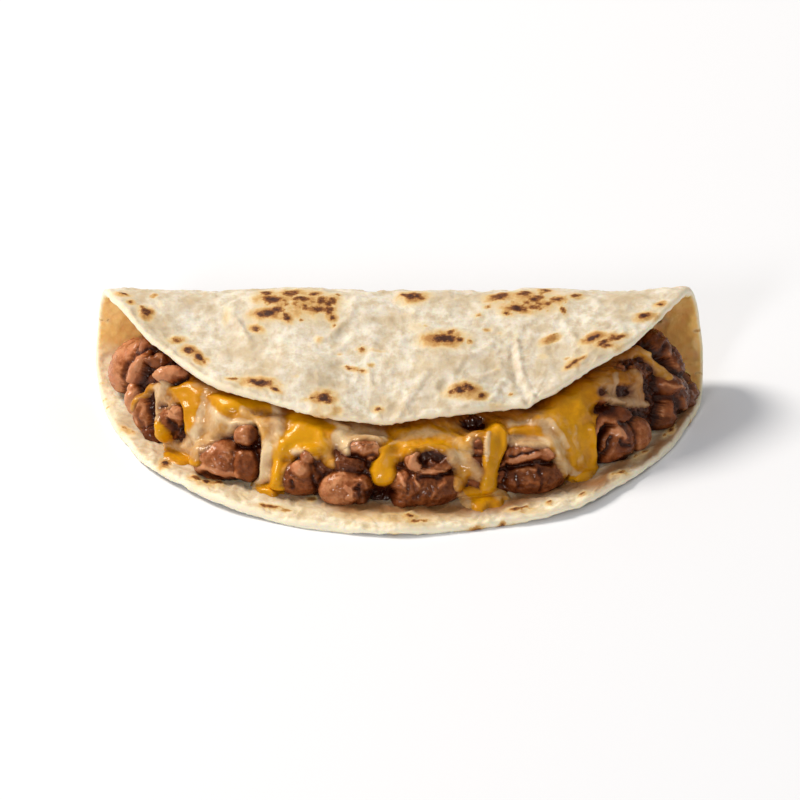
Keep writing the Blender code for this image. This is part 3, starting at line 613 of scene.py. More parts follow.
# A colour Mix node's inputs are 0, 6 and 7, for the factor and the two colours, and its output is 2
dough = add(tree, "ShaderNodeMix", {0: warm.outputs["Result"], 6: cream.outputs["Color"],
                                    7: linear(DOUGH_WARM)}, data_type="RGBA").outputs[2]
tint = add(tree, "ShaderNodeMix", {0: inside, 6: linear(DOUGH_OUTSIDE), 7: linear(DOUGH_INSIDE)},
           data_type="RGBA").outputs[2]
dough = add(tree, "ShaderNodeMix", {0: 1.0, 6: dough, 7: tint}, data_type="RGBA",
            blend_type="MULTIPLY").outputs[2]
# Brown juice stain and painted shade round the heap's foot
juice_and_shade = add(tree, "ShaderNodeMath", {0: juice_and_shade, 1: JUICE_AND_SHADE_MOST}, operation="MULTIPLY").outputs[0]
for share, stain in ((oil_and_glow, DOUGH_OIL_AND_GLOW), (juice_and_shade, DOUGH_JUICE_AND_SHADE), (rim, DOUGH_RIM)):
    dough = add(tree, "ShaderNodeMix", {0: share, 6: dough, 7: linear(stain)}, data_type="RGBA").outputs[2]
browned = add(tree, "ShaderNodeValToRGB", {"Fac": browning}, TOAST_STEPS)
browned.color_ramp.interpolation = "B_SPLINE"
is_toast = add(tree, "ShaderNodeMapRange", {"Value": browning, "From Min": 0.03, "From Max": 0.30},
               interpolation_type="SMOOTHSTEP").outputs["Result"]
skin = add(tree, "ShaderNodeMix", {0: is_toast, 6: dough, 7: browned.outputs["Color"]},
           data_type="RGBA").outputs[2]
bumps = add(tree, "ShaderNodeMath", {0: mottle, 1: 0.5, 2: blotch}, operation="MULTIPLY_ADD").outputs[0]
bump = add(tree, "ShaderNodeBump",
           {"Height": bumps, "Strength": 0.9, "Distance": 0.36 * MM}).outputs["Normal"]
shader = add(tree, "ShaderNodeBsdfPrincipled",
             {"Base Color": skin, "Normal": bump, "Roughness": 0.62, "Specular IOR Level": 0.35,
              "Subsurface Weight": 0.5, "Subsurface Radius": (1.0, 0.62, 0.3), "Subsurface Scale": 2.2 * MM})
add(tree, "ShaderNodeOutputMaterial", {"Surface": shader.outputs["BSDF"]})


def add_piece(name, points, faces, material, values):
    """A smooth-shaded piece of that name. values are numbers for each point, by attribute name."""
    mesh = bpy.data.meshes.new(name)
    mesh.from_pydata(np.asarray(points).tolist(), [], faces)
    mesh.shade_smooth()
    for key, numbers in values.items():
        mesh.attributes.new(key, "FLOAT", "POINT").data.foreach_set("value", np.asarray(numbers, np.float32))
    mesh.materials.append(material)
    piece = bpy.data.objects.new(name, mesh)
    bpy.context.scene.collection.objects.link(piece)
    return piece


# How yellow the inside is, from grease and from a painted glow of light through the dough: up the fold,
# and where it shows, in pixels: (column, row, half width, half height, how yellow)
OIL_AND_GLOW_FROM, OIL_AND_GLOW_OVER, OIL_AND_GLOW_MOST = 8 * MM, 7 * MM, 0.75
OIL_AND_GLOW_PLACES = [
    (118, 308, 34, 32, 0.75), (690, 335, 40, 60, 0.8), (215, 478, 24, 6, 0.15), (400, 514, 70, 8, 0.3),
]
OIL_AND_GLOW_REACH, OIL_AND_GLOW_FADE = 1.15, 0.3
# The heap's foot, as pixels: round it brown bean juice has soaked in, and painted shade lies in the same
# brown
BEAN_FOOT = [
    (128, 420), (150, 446), (168, 462), (200, 471), (225, 482), (258, 486), (285, 494), (320, 496),
    (345, 508), (372, 506), (400, 510), (440, 508), (462, 509), (505, 506), (530, 495), (565, 486),
    (600, 482), (620, 464), (650, 454), (675, 427), (692, 405),
]
JUICE_AND_SHADE_REACH = 4.4 * MM
JUICE_AND_SHADE_LEFT = 0.35  # how much of it there is at the left, where cheese lies on the dough
JUICE_AND_SHADE_FROM, JUICE_AND_SHADE_OVER = 240, 110  # the columns from which, and over which, there is more

points = made.pop("points")
points[:, 2] = np.maximum(points[:, 2], 0)  # soft dough lies flat on the table
# Grease, and a painted glow of light shining through the dough, yellow the inside up the fold
oil_and_glow_share = ease((points[:, 2] - OIL_AND_GLOW_FROM) / OIL_AND_GLOW_OVER) * OIL_AND_GLOW_MOST
columns, rows = in_picture(points)
for column, row, half_width, half_height, share in OIL_AND_GLOW_PLACES:
    apart = np.hypot((columns - column) / half_width, (rows - row) / half_height)
    oil_and_glow_share = np.maximum(oil_and_glow_share, share * ease((OIL_AND_GLOW_REACH - apart) / OIL_AND_GLOW_FADE))
# Brown juice stain and painted shade along the heap's foot, less at the left
juice_and_shade_share = bell(from_line(columns, rows, BEAN_FOOT) * PIXEL, JUICE_AND_SHADE_REACH)
juice_and_shade_share *= JUICE_AND_SHADE_LEFT + (1 - JUICE_AND_SHADE_LEFT) * ease((columns - JUICE_AND_SHADE_FROM) / JUICE_AND_SHADE_OVER)
tortilla = add_piece("soft_tortilla", points, np.concatenate(faces).tolist(), flour_tortilla,
                     {**made, "oil_and_glow": made["inside"] * oil_and_glow_share, "juice_and_shade": made["inside"] * juice_and_shade_share})
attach(tortilla, "root")
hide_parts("tortilla")

# ---- The beans
# Pinto-type beans, boiled soft and partly mashed: whole ones with taut shiny skins, burst ones whose
# skins have slipped and folded, and a wet brown paste that holds them in one heap.

GAP = 0.4 * MM  # between the heap and the dough
HEAP_MIDDLE_Y = 55 * MM  # from the taco's front, as the next two are
FOOT_OVAL_Y = 88 * MM
HEAP_BACK_Y = 83.5 * MM
FOOT_OVAL_HALF_WIDTH = 83 * MM
FOOT_OVAL_HALF_DEPTH = 73 * MM
FOOT_ROUNDING = 7  # how sharp the corners are where the oval meets the straight back
LEAST_COSINE = 0.01
FACE_WIDTH = 11 * MM  # how far the sloping face reaches, seen from above
HEAP_PEAK = 27 * MM
END_DROP = 3.5 * MM  # how much lower the heap is at its ends
TOP_EASING = 3 * MM
LAYER_ROOM = 4.15 * MM  # between the heap's top and the upper flap, for the cheese
APRON = 24 * MM  # past the heap's foot, a further 1 on the scale of down is this far along the dough

half_dough = DOUGH_THICKNESS / 2
profile_angle = dough_angle(profile_along)
inner_y = profile_y - half_dough * np.sin(profile_angle)
inner_z = profile_z + half_dough * np.cos(profile_angle)
rises = profile_along <= FOLD_START + FOLD_LENGTH / 2
returns = profile_along >= FOLD_START + FOLD_LENGTH / 2


def lower_flap_top(y):
    """Height of the lower flap's upper side."""
    return np.interp(y, inner_y[rises], inner_z[rises])


def upper_flap_under(x, y):
    """Height of the upper flap's underside."""
    along = np.interp(y, profile_y[returns][::-1], profile_along[returns][::-1])
    under = np.interp(along, profile_along, profile_z) + half_dough / np.cos(dough_angle(along))
    return under + swell(x, along)


def foot_reach(bearing):
    """How far the heap's foot is from its middle. A bearing of 0 points to the front, and half pi right."""
    sine, cosine = np.sin(bearing), np.cos(bearing)
    width, depth = FOOT_OVAL_HALF_WIDTH, FOOT_OVAL_HALF_DEPTH
    offset = HEAP_MIDDLE_Y - FOOT_OVAL_Y
    a = (sine / width) ** 2 + (cosine / depth) ** 2
    b = -2 * offset * cosine / depth**2
    c = (offset / depth) ** 2 - 1
    oval = (-b + np.sqrt(b * b - 4 * a * c)) / (2 * a)
    straight = (HEAP_BACK_Y - HEAP_MIDDLE_Y) / np.maximum(-cosine, LEAST_COSINE)
    return (oval**-FOOT_ROUNDING + straight**-FOOT_ROUNDING) ** (-1 / FOOT_ROUNDING)


def heap_top(x, y):
    """Height of the heap's top: its crown, or less where the flap leaves less room."""
    crown = HEAP_PEAK - END_DROP * (np.abs(x) / FOOT_OVAL_HALF_WIDTH) ** 4
    room = upper_flap_under(x, y) - LAYER_ROOM
    near = np.maximum(1 - np.abs(crown - room) / TOP_EASING, 0)
    return np.minimum(crown, room) - near * near * TOP_EASING / 4


def heap_points(bearing, down):
    """Points of the bare heap: down is 0 in its middle, 1 at the top of its face, 2 at its foot, and
    more on the dough in front of it."""
    slope = np.clip(down - 1, 0, 1) * math.pi / 2
    foot = foot_reach(bearing)
    on_top = (foot - FACE_WIDTH) * down
    on_face = foot - FACE_WIDTH * (1 - np.sin(slope)) + APRON * np.maximum(down - 2, 0)
    reach = np.where(down <= 1, on_top, on_face)
    x = reach * np.sin(bearing)
    y = FRONT_Y + HEAP_MIDDLE_Y - reach * np.cos(bearing)
    low = lower_flap_top(y) + GAP
    return np.stack([x, y, low + (heap_top(x, y) - low) * np.cos(slope)], axis=-1)


# The chart that beans and cheese are laid out on: bearings once round, close together wherever the
# heap can be seen, by how far down. out is the way that each place of the heap faces.
OPEN_SPREAD = math.radians(136)
CHART_STEP = 0.376 * MM
FOOT_SAMPLES = 2000  # to measure the foot's length with
HIDDEN_BEARINGS = 24
HIDDEN_DOWNS = [0.1, 0.25, 0.4, 0.52, 0.62, 0.7, 0.76]
SEEN_FROM = 0.8  # how far down the heap comes out from under the flap
TOP_DOWNS, FACE_DOWNS, APRON_DOWNS = 13, 80, 22
APRON_END = 2.5
FOOT_EASING = 0.2  # how far past the foot the heap's facing turns straight up
PROBE = 0.004  # the step over which the heap's facing is measured
UPWARD = np.array((0.0, 0.0, 1.0))

fine = np.linspace(-OPEN_SPREAD, OPEN_SPREAD, FOOT_SAMPLES)
foot_line = heap_points(fine, np.full_like(fine, 2.0))
foot_length = np.concatenate(([0], np.cumsum(np.linalg.norm(np.diff(foot_line, axis=0), axis=1))))
open_columns = round(foot_length[-1] / CHART_STEP)
open_bearings = np.interp(np.linspace(0, foot_length[-1], open_columns), foot_length, fine)
hidden_bearings = np.linspace(OPEN_SPREAD, 2 * math.pi - OPEN_SPREAD, HIDDEN_BEARINGS + 2)[1:-1]
bearings = np.concatenate([open_bearings, hidden_bearings])
downs = np.concatenate([HIDDEN_DOWNS, np.linspace(SEEN_FROM, 1, TOP_DOWNS, endpoint=False),
                        np.linspace(1, 2, FACE_DOWNS, endpoint=False),
                        np.linspace(2, APRON_END, APRON_DOWNS + 1)])
FOOT_ROW = len(HIDDEN_DOWNS) + TOP_DOWNS + FACE_DOWNS
chart_down, chart_bearing = np.meshgrid(downs, bearings, indexing="ij")
chart_shape = chart_down.shape
bare = heap_points(chart_bearing, chart_down)
at_face = np.minimum(chart_down, 2 - 2 * PROBE)
across_way = heap_points(chart_bearing + PROBE, at_face) - heap_points(chart_bearing - PROBE, at_face)
down_way = heap_points(chart_bearing, at_face + PROBE) - heap_points(chart_bearing, at_face - PROBE)
out = np.cross(down_way, across_way)
out /= np.linalg.norm(out, axis=-1, keepdims=True)
faces_up = ease((chart_down - 2) / FOOT_EASING)[..., None]
out = out * (1 - faces_up) + UPWARD * faces_up
out /= np.linalg.norm(out, axis=-1, keepdims=True)
chart_columns, chart_rows = in_picture(bare)
shows = (out @ away < 0) & (chart_down > SEEN_FROM)

# Whole beans and lumps of mash that can be made out: (column, row, half length, half width, turn in
# degrees, how proud in mm, how rough, how light). How light is a lump's own tone, with painted shade
# on lumps that lie in shadow and painted light on those that the lamp catches.
LUMPS = [
    (132, 366, 30, 22, 62, 1.2, 0.5, 0.95), (123, 371, 25, 14, 74, 3.0, 0.3, 1.15),
    (134, 352, 17, 10, 50, 1.6, 0.3, 1.0), (148, 345, 11, 9, 80, 1.6, 0.4, 0.8),
    (140, 366, 20, 6.5, 60, 2.7, 0.4, 1.15), (160, 362, 17, 8, -8, 1.0, 0.4, 0.6),
    (171, 374, 18, 9.5, 2, 3.0, 0.35, 1.1), (134, 398, 17, 8, 84, 2.2, 0.3, 1.15),
    (144, 414, 21, 12, 104, 2.8, 0.3, 0.85), (153, 436, 13, 8, -42, 2.2, 0.4, 0.45),
    (171, 424, 15, 17, 0, 2.4, 0.7, 0.75), (177, 416, 10, 11, 0, 2.0, 0.9, 0.8),
    (226, 461, 33, 23, 5, 4.2, 0.35, 0.85), (208, 456, 17, 15, 0, 4.1, 0.08, 1.0),
    (246, 464, 19, 13, 95, 3.7, 0.3, 0.55), (246, 436, 13, 12.5, 0, 3.6, 0.05, 0.85),
    (301, 478, 26, 18, 0, 3.4, 0.4, 0.62), (283, 479, 12, 12, 0, 3.5, 0.25, 0.8),
    (302, 470, 13, 11, 10, 4.0, 0.15, 0.75), (307, 457, 7.5, 7.5, 0, 3.8, 0.15, 0.75),
    (345, 488, 27, 19, 6, 4.5, 0.08, 0.85), (361, 489, 13, 16, 0, 4.2, 0.9, 0.5),
    (366, 449, 21, 12, 0, 3.6, 0.35, 0.85), (350, 465, 18, 12, 0, 2.2, 0.4, 0.4),
    (425, 488, 36, 22, 5, 4.4, 0.5, 0.5), (406, 486, 16, 17, 0, 4.3, 0.5, 0.7),
    (446, 486, 17, 15, 0, 4.2, 0.35, 0.4), (402, 498, 14, 10, -20, 3.7, 0.6, 0.55),
    (414, 460, 9, 12, 10, 4.2, 0.35, 0.9), (436, 460, 22, 14, -5, 3.2, 0.4, 0.4),
    (478, 447, 14, 15, 0, 2.6, 0.6, 0.45), (474, 466, 16, 14, 0, 2.0, 0.5, 0.35),
    (530, 478, 33, 20, 4, 3.9, 0.3, 0.5), (528, 455, 28, 14, 5, 3.7, 0.45, 0.65),
    (551, 476, 15, 14, 0, 3.8, 0.25, 0.4), (612, 442, 25, 23, 80, 3.2, 0.35, 0.5),
    (636, 434, 16, 18, 0, 3.8, 0.05, 0.75), (610, 415, 22, 10, 0, 1.8, 0.4, 0.35),
    (664, 410, 15, 12, 10, 2.6, 0.6, 0.7), (681, 404, 18, 15, 65, 2.0, 0.9, 0.5),
    (680, 386, 19, 13, -62, 2.0, 0.9, 0.55), (662, 384, 20, 13, -8, 2.0, 0.8, 0.5),
    (668, 362, 24, 14, -62, 2.0, 0.9, 0.45), (654, 345, 20, 14, -40, 2.0, 0.8, 0.45),
    (662, 396, 28, 28, 0, 1.0, 0.6, 0.35), (660, 422, 18, 10, 22, 2.0, 0.6, 0.4),
    (690, 394, 14, 11, -70, 1.6, 0.6, 0.5),
]
# Folds of slipped skin, and creases between: (height in mm, half width in pixels, lighter or darker,
# line of pixels). Lighter is pale stretched skin with painted light on the crests, and a few short pale
# marks are painted highlights; darker is painted shade down the creases.
SKINS = [
    (0.8, 3.2, 0.3, [(149, 355), (140, 360), (133, 369), (130, 380), (129, 392), (127, 404)]),
    (-0.6, 3.0, -0.4, [(134, 358), (127, 367), (124, 378)]),
    (0.6, 2.6, 0.2, [(140, 351), (133, 360), (129, 367)]),
    (-0.8, 3.4, -0.5, [(147, 364), (138, 371), (134, 382), (131, 390)]),
    (-1.0, 4.5, -0.8, [(147, 353), (154, 351)]), (0.6, 3.0, 0.4, [(157, 354), (163, 357)]),
    (0.6, 3.0, 0.3, [(152, 376), (147, 384)]), (-0.4, 4.0, -0.5, [(172, 380), (181, 379)]),
    (-0.5, 2.5, -0.4, [(140, 408), (137, 418), (143, 428)]),
    (0.6, 2.2, 0.4, [(172, 406), (176, 413), (181, 409)]),
    (0.5, 2.0, 0.3, [(168, 409), (173, 418), (180, 419)]),
    (-1.0, 4.5, -0.8, [(170, 423), (173, 430), (170, 437)]),
    (0.8, 2.6, 0.35, [(197, 464), (206, 469), (216, 472), (226, 473), (236, 475)]),
    (-0.4, 3.0, -0.6, [(200, 474), (214, 477), (230, 480), (245, 481)]),
    (0.2, 4.0, 0.1, [(236, 456), (234, 464), (236, 474)]),
    (-0.9, 3.4, -0.9, [(238, 446), (248, 448), (257, 444)]), (-0.2, 6.0, -0.6, [(254, 432), (256, 440)]),
    (0.4, 2.4, 0.35, [(240, 452), (246, 450), (252, 455)]), (-0.6, 2.2, -0.4, [(290, 480), (293, 488)]),
    (-0.5, 2.6, -0.4, [(312, 466), (312, 476), (316, 486)]),
    (0.5, 2.2, 0.3, [(303, 449), (310, 449), (315, 455)]), (0.1, 5.0, 0.45, [(294, 466), (302, 471)]),
    (0.35, 2.4, 0.35, [(346, 488), (352, 493), (349, 499), (357, 500)]),
    (-0.3, 2.4, -0.5, [(357, 488), (360, 497), (354, 504)]), (0.3, 1.8, 0.2, [(335, 474), (345, 473)]),
    (0.3, 2.4, 0.3, [(355, 479), (363, 481), (366, 487)]),
    (-0.8, 3.0, -0.8, [(350, 455), (362, 457), (374, 454)]), (0.3, 3.0, 0.4, [(352, 447), (359, 447)]),
    (-1.6, 8.0, -0.8, [(372, 497), (388, 495)]), (0.4, 2.4, 0.35, [(397, 471), (400, 478), (405, 484)]),
    (0.45, 1.8, 0.4, [(415, 473), (416, 480), (419, 487)]),
    (-0.35, 2.4, -0.3, [(409, 473), (410, 483), (408, 492)]),
    (-0.6, 2.8, -0.5, [(424, 476), (436, 477), (450, 474), (460, 470)]),
    (0.5, 2.0, 0.3, [(431, 497), (436, 490)]), (0.5, 2.2, 0.3, [(441, 486), (445, 481)]),
    (1.0, 3.8, 0.5, [(417, 468), (426, 471), (436, 471), (446, 468), (454, 464)]),
    (-1.6, 5.0, -0.7, [(423, 459), (430, 454), (440, 457)]),
    (0.8, 3.0, 0.4, [(411, 466), (412, 458), (417, 453)]), (-1.8, 9.0, -0.8, [(466, 423), (480, 419)]),
    (0.5, 2.0, 0.4, [(478, 441), (484, 440)]), (0.5, 2.0, 0.3, [(476, 452), (483, 451)]),
    (0.4, 3.0, 0.15, [(507, 451), (520, 450), (533, 449), (544, 446), (551, 449)]),
    (0.6, 3.6, 0.25, [(503, 463), (514, 460), (528, 458), (540, 454), (547, 449), (554, 455)]),
    (-0.5, 1.8, -0.5, [(510, 456), (525, 455), (538, 451)]),
    (-0.7, 2.8, -0.7, [(500, 470), (518, 466), (535, 462), (550, 464)]),
    (-0.4, 2.0, -0.3, [(515, 474), (517, 489)]), (-0.4, 2.0, -0.3, [(538, 470), (543, 480), (541, 490)]),
    (0.4, 2.2, 0.25, [(519, 470), (527, 468), (536, 470)]),
    (0.3, 1.8, 0.2, [(521, 484), (530, 481), (537, 483)]),
    (1.3, 4.2, 0.55, [(593, 434), (596, 426), (603, 421), (611, 421), (617, 428), (623, 436)]),
    (-1.6, 4.4, -0.9, [(602, 431), (599, 438), (596, 446)]),
    (0.9, 3.4, 0.35, [(610, 430), (606, 438), (601, 446), (595, 454)]),
    (-1.0, 2.6, -0.6, [(611, 436), (608, 446), (604, 452)]),
    (0.7, 3.4, 0.2, [(614, 431), (615, 442), (610, 452), (601, 461)]),
    (-0.7, 2.6, -0.5, [(621, 437), (622, 446), (630, 446)]),
    (-0.9, 3.0, -0.9, [(604, 467), (620, 462), (638, 456), (650, 452)]),
    (0.4, 3.0, 0.2, [(657, 417), (657, 407), (664, 401)]),
    (-0.8, 3.4, -0.6, [(650, 346), (656, 356), (662, 362)]),
    (0.6, 2.6, 0.4, [(660, 385), (672, 385), (682, 388)]), (-0.8, 4.0, -0.5, [(647, 380), (648, 392)]),
    (-1.6, 7.0, -1.2, [(618, 391), (629, 392)]), (-0.6, 5.0, -0.7, [(588, 399), (604, 393)]),
    (-0.8, 6.0, -0.7, [(594, 408), (610, 407)]), (-0.7, 3.2, -0.6, [(664, 346), (656, 358)]),
    (-0.7, 3.2, -0.6, [(676, 372), (688, 380)]), (0.5, 2.4, 0.35, [(668, 356), (676, 368), (682, 380)]),
    (0.4, 2.2, 0.4, [(683, 399), (684, 408)]), (-0.8, 3.0, -0.6, [(676, 400), (678, 412), (684, 418)]),
]
# Smaller lumps fill the heap between them and round its hidden ends. Each pair of numbers is the least
# and the most, and how proud they stand is in mm.
FILLERS, FILLER_SEED = 140, 5
FILLER_DOWNS, FILLER_PROUD = (0.85, 2.0), (-0.2, 1.2)
FILLER_HALF, FILLER_SHAPE = (3.6 * MM, 6.4 * MM), (1.3, 0.95, 0.9)
FILLER_ROUGH, FILLER_LIGHT = (0.2, 0.7), (0.3, 0.7)
FILLER_CLEAR, FILLER_SUNK = 1.0, 1.2 * MM  # within this many times a shown lump's size, one is sunk
END_BEANS = 30
END_BEARING = math.radians(100)  # past this the picture doesn't show the heap
END_DOWNS, END_PROUD = (1.05, 1.9), (0.6, 2.0)
BEAN_HALF, END_SIZES = (7.2 * MM, 4.8 * MM, 4.4 * MM), (0.8, 1.05)
END_ROUGH, END_LIGHT = (0.4, 0.9), (0.3, 0.7)
LUMP_DEPTH = 0.95  # a shown lump's depth by its smaller half width
END_DEPTH = 0.3  # beans at the heap's ends reach this much further from the viewer
END_EASING, END_FROM = 60, 3.7  # over this many columns, from this many times as far from the middle
LUMP_NEAR = 9 * MM  # how far past its own size a lump can raise the heap
MELD = 0.8 * MM  # how far from each other lumps begin to flow together
PASTE_DEPTH, PASTE_ROUGH, PASTE_LIGHT = -0.7 * MM, 1.0, 0.2
OUT_OF_SIGHT = 1e9

places, ways = bare.reshape(-1, 3), out.reshape(-1, 3)
heights = np.full(len(places), PASTE_DEPTH)
rough = np.full(len(places), PASTE_ROUGH)
tone_and_shade_values = np.full(len(places), PASTE_LIGHT)


def meld(first, second, over):
    """What two surfaces that flow together over this distance add to the higher of them."""
    return np.maximum(over - np.abs(first - second), 0) ** 2 / (4 * over)


def lay_lump(middle, axes, halves, how_rough, lump_tone_and_shade):
    """Raises the heap's surface to this ellipsoid where it stands out, and melts the join."""
    near = np.nonzero(np.linalg.norm(places - middle, axis=1) < max(halves) + LUMP_NEAR)[0]
    start = (places[near] - middle) @ axes.T / halves
    way = ways[near] @ axes.T / halves
    a = (way * way).sum(axis=1)
    b = (way * start).sum(axis=1)
    inside_root = b * b - a * ((start * start).sum(axis=1) - 1)
    meets = inside_root > 0
    near, a, b, inside_root = near[meets], a[meets], b[meets], inside_root[meets]
    height = (-b + np.sqrt(inside_root)) / a
    before = heights[near]
    heights[near] = np.maximum(height, before) + meld(height, before, MELD)
    share = np.clip((height - before) / MELD + 0.5, 0, 1)
    rough[near] += (how_rough - rough[near]) * share
    tone_and_shade_values[near] += (lump_tone_and_shade - tone_and_shade_values[near]) * share


def turned_axes(first, normal):
    """Three axes as rows, the first as near to first as the normal lets it."""
    normal = normal / np.linalg.norm(normal)
    first = first - normal * (first @ normal)
    first /= np.linalg.norm(first)
    return np.stack([first, np.cross(normal, first), normal])


def any_axes(facing, dice):
    """Axes turned any way about the last, which faces this way."""
    return turned_axes(np.array([dice.gauss(0, 1) for _ in range(3)]), facing)


def on_chart(bearing, down):
    """The chart's place nearest to there, by its row and column."""
    return np.argmin(np.abs(downs - down)), np.argmin(np.abs(bearings - bearing))


hidden_far = np.where(shows.ravel(), 0, OUT_OF_SIGHT)
dice = random.Random(FILLER_SEED)
for _ in range(FILLERS):
    place = on_chart(dice.uniform(-OPEN_SPREAD, OPEN_SPREAD), dice.uniform(*FILLER_DOWNS))
    halves = np.array([dice.uniform(*FILLER_HALF) * share for share in FILLER_SHAPE])
    axes = any_axes(out[place], dice)
    proud = dice.uniform(*FILLER_PROUD) * MM
    column, row = chart_columns[place], chart_rows[place]
    if any(math.hypot((column - x) / half_x, (row - y) / half_y) < FILLER_CLEAR
           for x, y, half_x, half_y, *_ in LUMPS):
        proud -= FILLER_SUNK
    lay_lump(bare[place] - out[place] * (halves[2] - proud), axes, halves,
             dice.uniform(*FILLER_ROUGH), dice.uniform(*FILLER_LIGHT))
for n in range(END_BEANS):
    side = -1 if n % 2 else 1
    place = on_chart(side * dice.uniform(END_BEARING, OPEN_SPREAD), dice.uniform(*END_DOWNS))
    halves = np.array(BEAN_HALF) * dice.uniform(*END_SIZES)
    axes = any_axes(out[place], dice)
    lay_lump(bare[place] - out[place] * (halves[2] - dice.uniform(*END_PROUD) * MM), axes, halves,
             dice.uniform(*END_ROUGH), dice.uniform(*END_LIGHT))
for column, row, half_length, half_width, turn, proud, how_rough, lump_tone_and_shade in LUMPS:
    raised = places + ways * proud * MM
    at_columns, at_rows = in_picture(raised)
    nearest = np.argmin((at_columns - column) ** 2 + (at_rows - row) ** 2 + hidden_far)
    turn = math.radians(turn)
    axes = turned_axes(to_right * math.cos(turn) + to_top * math.sin(turn), -away)
    at_end = ease(abs(column - PICTURE_MIDDLE) / END_EASING - END_FROM)
    depth = LUMP_DEPTH * min(half_length, half_width) * (1 + END_DEPTH * at_end)
    halves = np.array([half_length, half_width, depth]) * PIXEL
    lay_lump(raised[nearest] + away * halves[2], axes, halves, how_rough, lump_tone_and_shade)

# Wrinkles in slipped skins: (size, height, how high they lie, how sharp, seed)
WRINKLES = [(2.8 * MM, 0.55 * MM, 0.55, 2.4, 34), (1.3 * MM, 0.48 * MM, 0.5, 2.2, 35)]
BEND_SIZE, BEND, BEND_SEEDS = 4 * MM, 1.6 * MM, (31, 32, 33)
# The grain of the mash
BUMP_SIZE, BUMP_HEIGHT, BUMP_SEED = 0.95 * MM, 0.2 * MM, 36
WRINKLED_LEAST, BUMPY_LEAST = 0.15, 0.3  # how much a smooth skin has of either
# How many pixels the folds and creases wander, and by how much wider they fade out
SKIN_WAVER, SKIN_WAVER_SIZE, SKIN_WAVER_SEEDS = 3.0, 3 * MM, (37, 38)
SKIN_FADE = 1.5
HEAP_OFF_DOUGH = 0.12 * MM
HOLLOW_DEPTH = 0.55 * MM  # a place this far below those round it gets the full painted shade of a hollow
HOLLOW_SHADE, HOLLOW_LEAST, HOLLOW_MOST = 0.30, -0.4, 1.2
HOLLOW_PASSES = 30


def soften(field, times):
    """Evens out a chart's numbers, round the heap and down it."""
    for _ in range(times):
        field = (np.roll(field, 1, axis=1) + 2 * field + np.roll(field, -1, axis=1)) / 4
        ends = np.concatenate([field[:1], field, field[-1:]])
        field = (ends[:-2] + 2 * field + ends[2:]) / 4
    return field


surface = places + ways * heights[:, None]
surface_columns, surface_rows = in_picture(surface)
surface_columns += SKIN_WAVER * grain(surface, SKIN_WAVER_SIZE, SKIN_WAVER_SEEDS[0])
surface_rows += SKIN_WAVER * grain(surface, SKIN_WAVER_SIZE, SKIN_WAVER_SEEDS[1])
for height, half_width, light_and_shade, line in SKINS:
    share = bell(from_line(surface_columns, surface_rows, line), SKIN_FADE * half_width) * shows.ravel()
    heights += height * MM * share
    tone_and_shade_values += light_and_shade * share
bent = surface + BEND * np.stack([grain(surface, BEND_SIZE, seed) for seed in BEND_SEEDS], axis=-1)
wrinkles = sum(height * (level - np.abs(grain(bent, size, seed)) * sharp)
               for size, height, level, sharp, seed in WRINKLES)
heights += (WRINKLED_LEAST + rough) * wrinkles
heights += (BUMPY_LEAST + rough) * BUMP_HEIGHT * grain(surface, BUMP_SIZE, BUMP_SEED)
# Painted shade in the hollows between lumps, and painted light where a place stands above those round it
hollow = soften(heights.reshape(chart_shape), HOLLOW_PASSES).ravel() - heights
tone_and_shade_values -= HOLLOW_SHADE * np.clip(hollow / HOLLOW_DEPTH, HOLLOW_LEAST, HOLLOW_MOST)

DOUGH_PARTS = 40  # how many parts the points are taken in, to spare memory


def clear_of_dough(points, room):
    """The points, moved where need be so that they are this far off the dough's inside."""
    points = points.copy()
    for part in np.array_split(np.arange(len(points)), DOUGH_PARTS):
        x, y, z = points[part].T
        nearest = np.argmin((y[:, None] - profile_y) ** 2 + (z[:, None] - profile_z) ** 2, axis=1)
        along, angle = profile_along[nearest], profile_angle[nearest]
        out_y, out_z = np.sin(angle), -np.cos(angle)
        raised = profile_z[nearest] + out_z * swell(x, along) + curl(x, along)
        inward = (profile_y[nearest] - y) * out_y + (raised - z) * out_z
        on_dough = np.hypot(x, along - TORTILLA_RADIUS) < TORTILLA_RADIUS + MM
        lack = np.maximum(half_dough + room - inward, 0) * on_dough
        points[part, 1] -= out_y * lack
        points[part, 2] -= out_z * lack
    return points


# The chart's rings as far as the foot, rings under the heap, and a point in the middle of its top and
# of its underside
UNDER_REACHES = (0.97, 0.75, 0.35)
columns_round = len(bearings)
kept = (FOOT_ROW + 1) * columns_round
bean_points = [clear_of_dough((places + ways * heights[:, None])[:kept], HEAP_OFF_DOUGH)]
for share in UNDER_REACHES:
    reach = foot_reach(bearings) * share
    y = FRONT_Y + HEAP_MIDDLE_Y - reach * np.cos(bearings)
    bean_points.append(np.stack([reach * np.sin(bearings), y, lower_flap_top(y) + HEAP_OFF_DOUGH], axis=-1))
middle_y = FRONT_Y + HEAP_MIDDLE_Y
bean_points.append(heap_points(np.array([0.0]), np.array([0.0])))
bean_points.append([(0, middle_y, lower_flap_top(middle_y) + HEAP_OFF_DOUGH)])
bean_points = np.concatenate(bean_points)
ring_count = FOOT_ROW + 1 + len(UNDER_REACHES)
rings = np.arange(ring_count * columns_round).reshape(ring_count, columns_round)
top_point, under_point = np.full(columns_round, rings.size), np.full(columns_round, rings.size + 1)
faces = np.concatenate([joined(*pair) for pair in zip(rings, rings[1:])]).tolist()
faces += np.stack([top_point, np.roll(rings[0], -1), rings[0]], axis=-1).tolist()
faces += np.stack([under_point, rings[-1], np.roll(rings[-1], -1)], axis=-1).tolist()
padding = np.zeros(len(bean_points) - kept)

bean_skin, tree = new_material("boiled bean skin and mash")
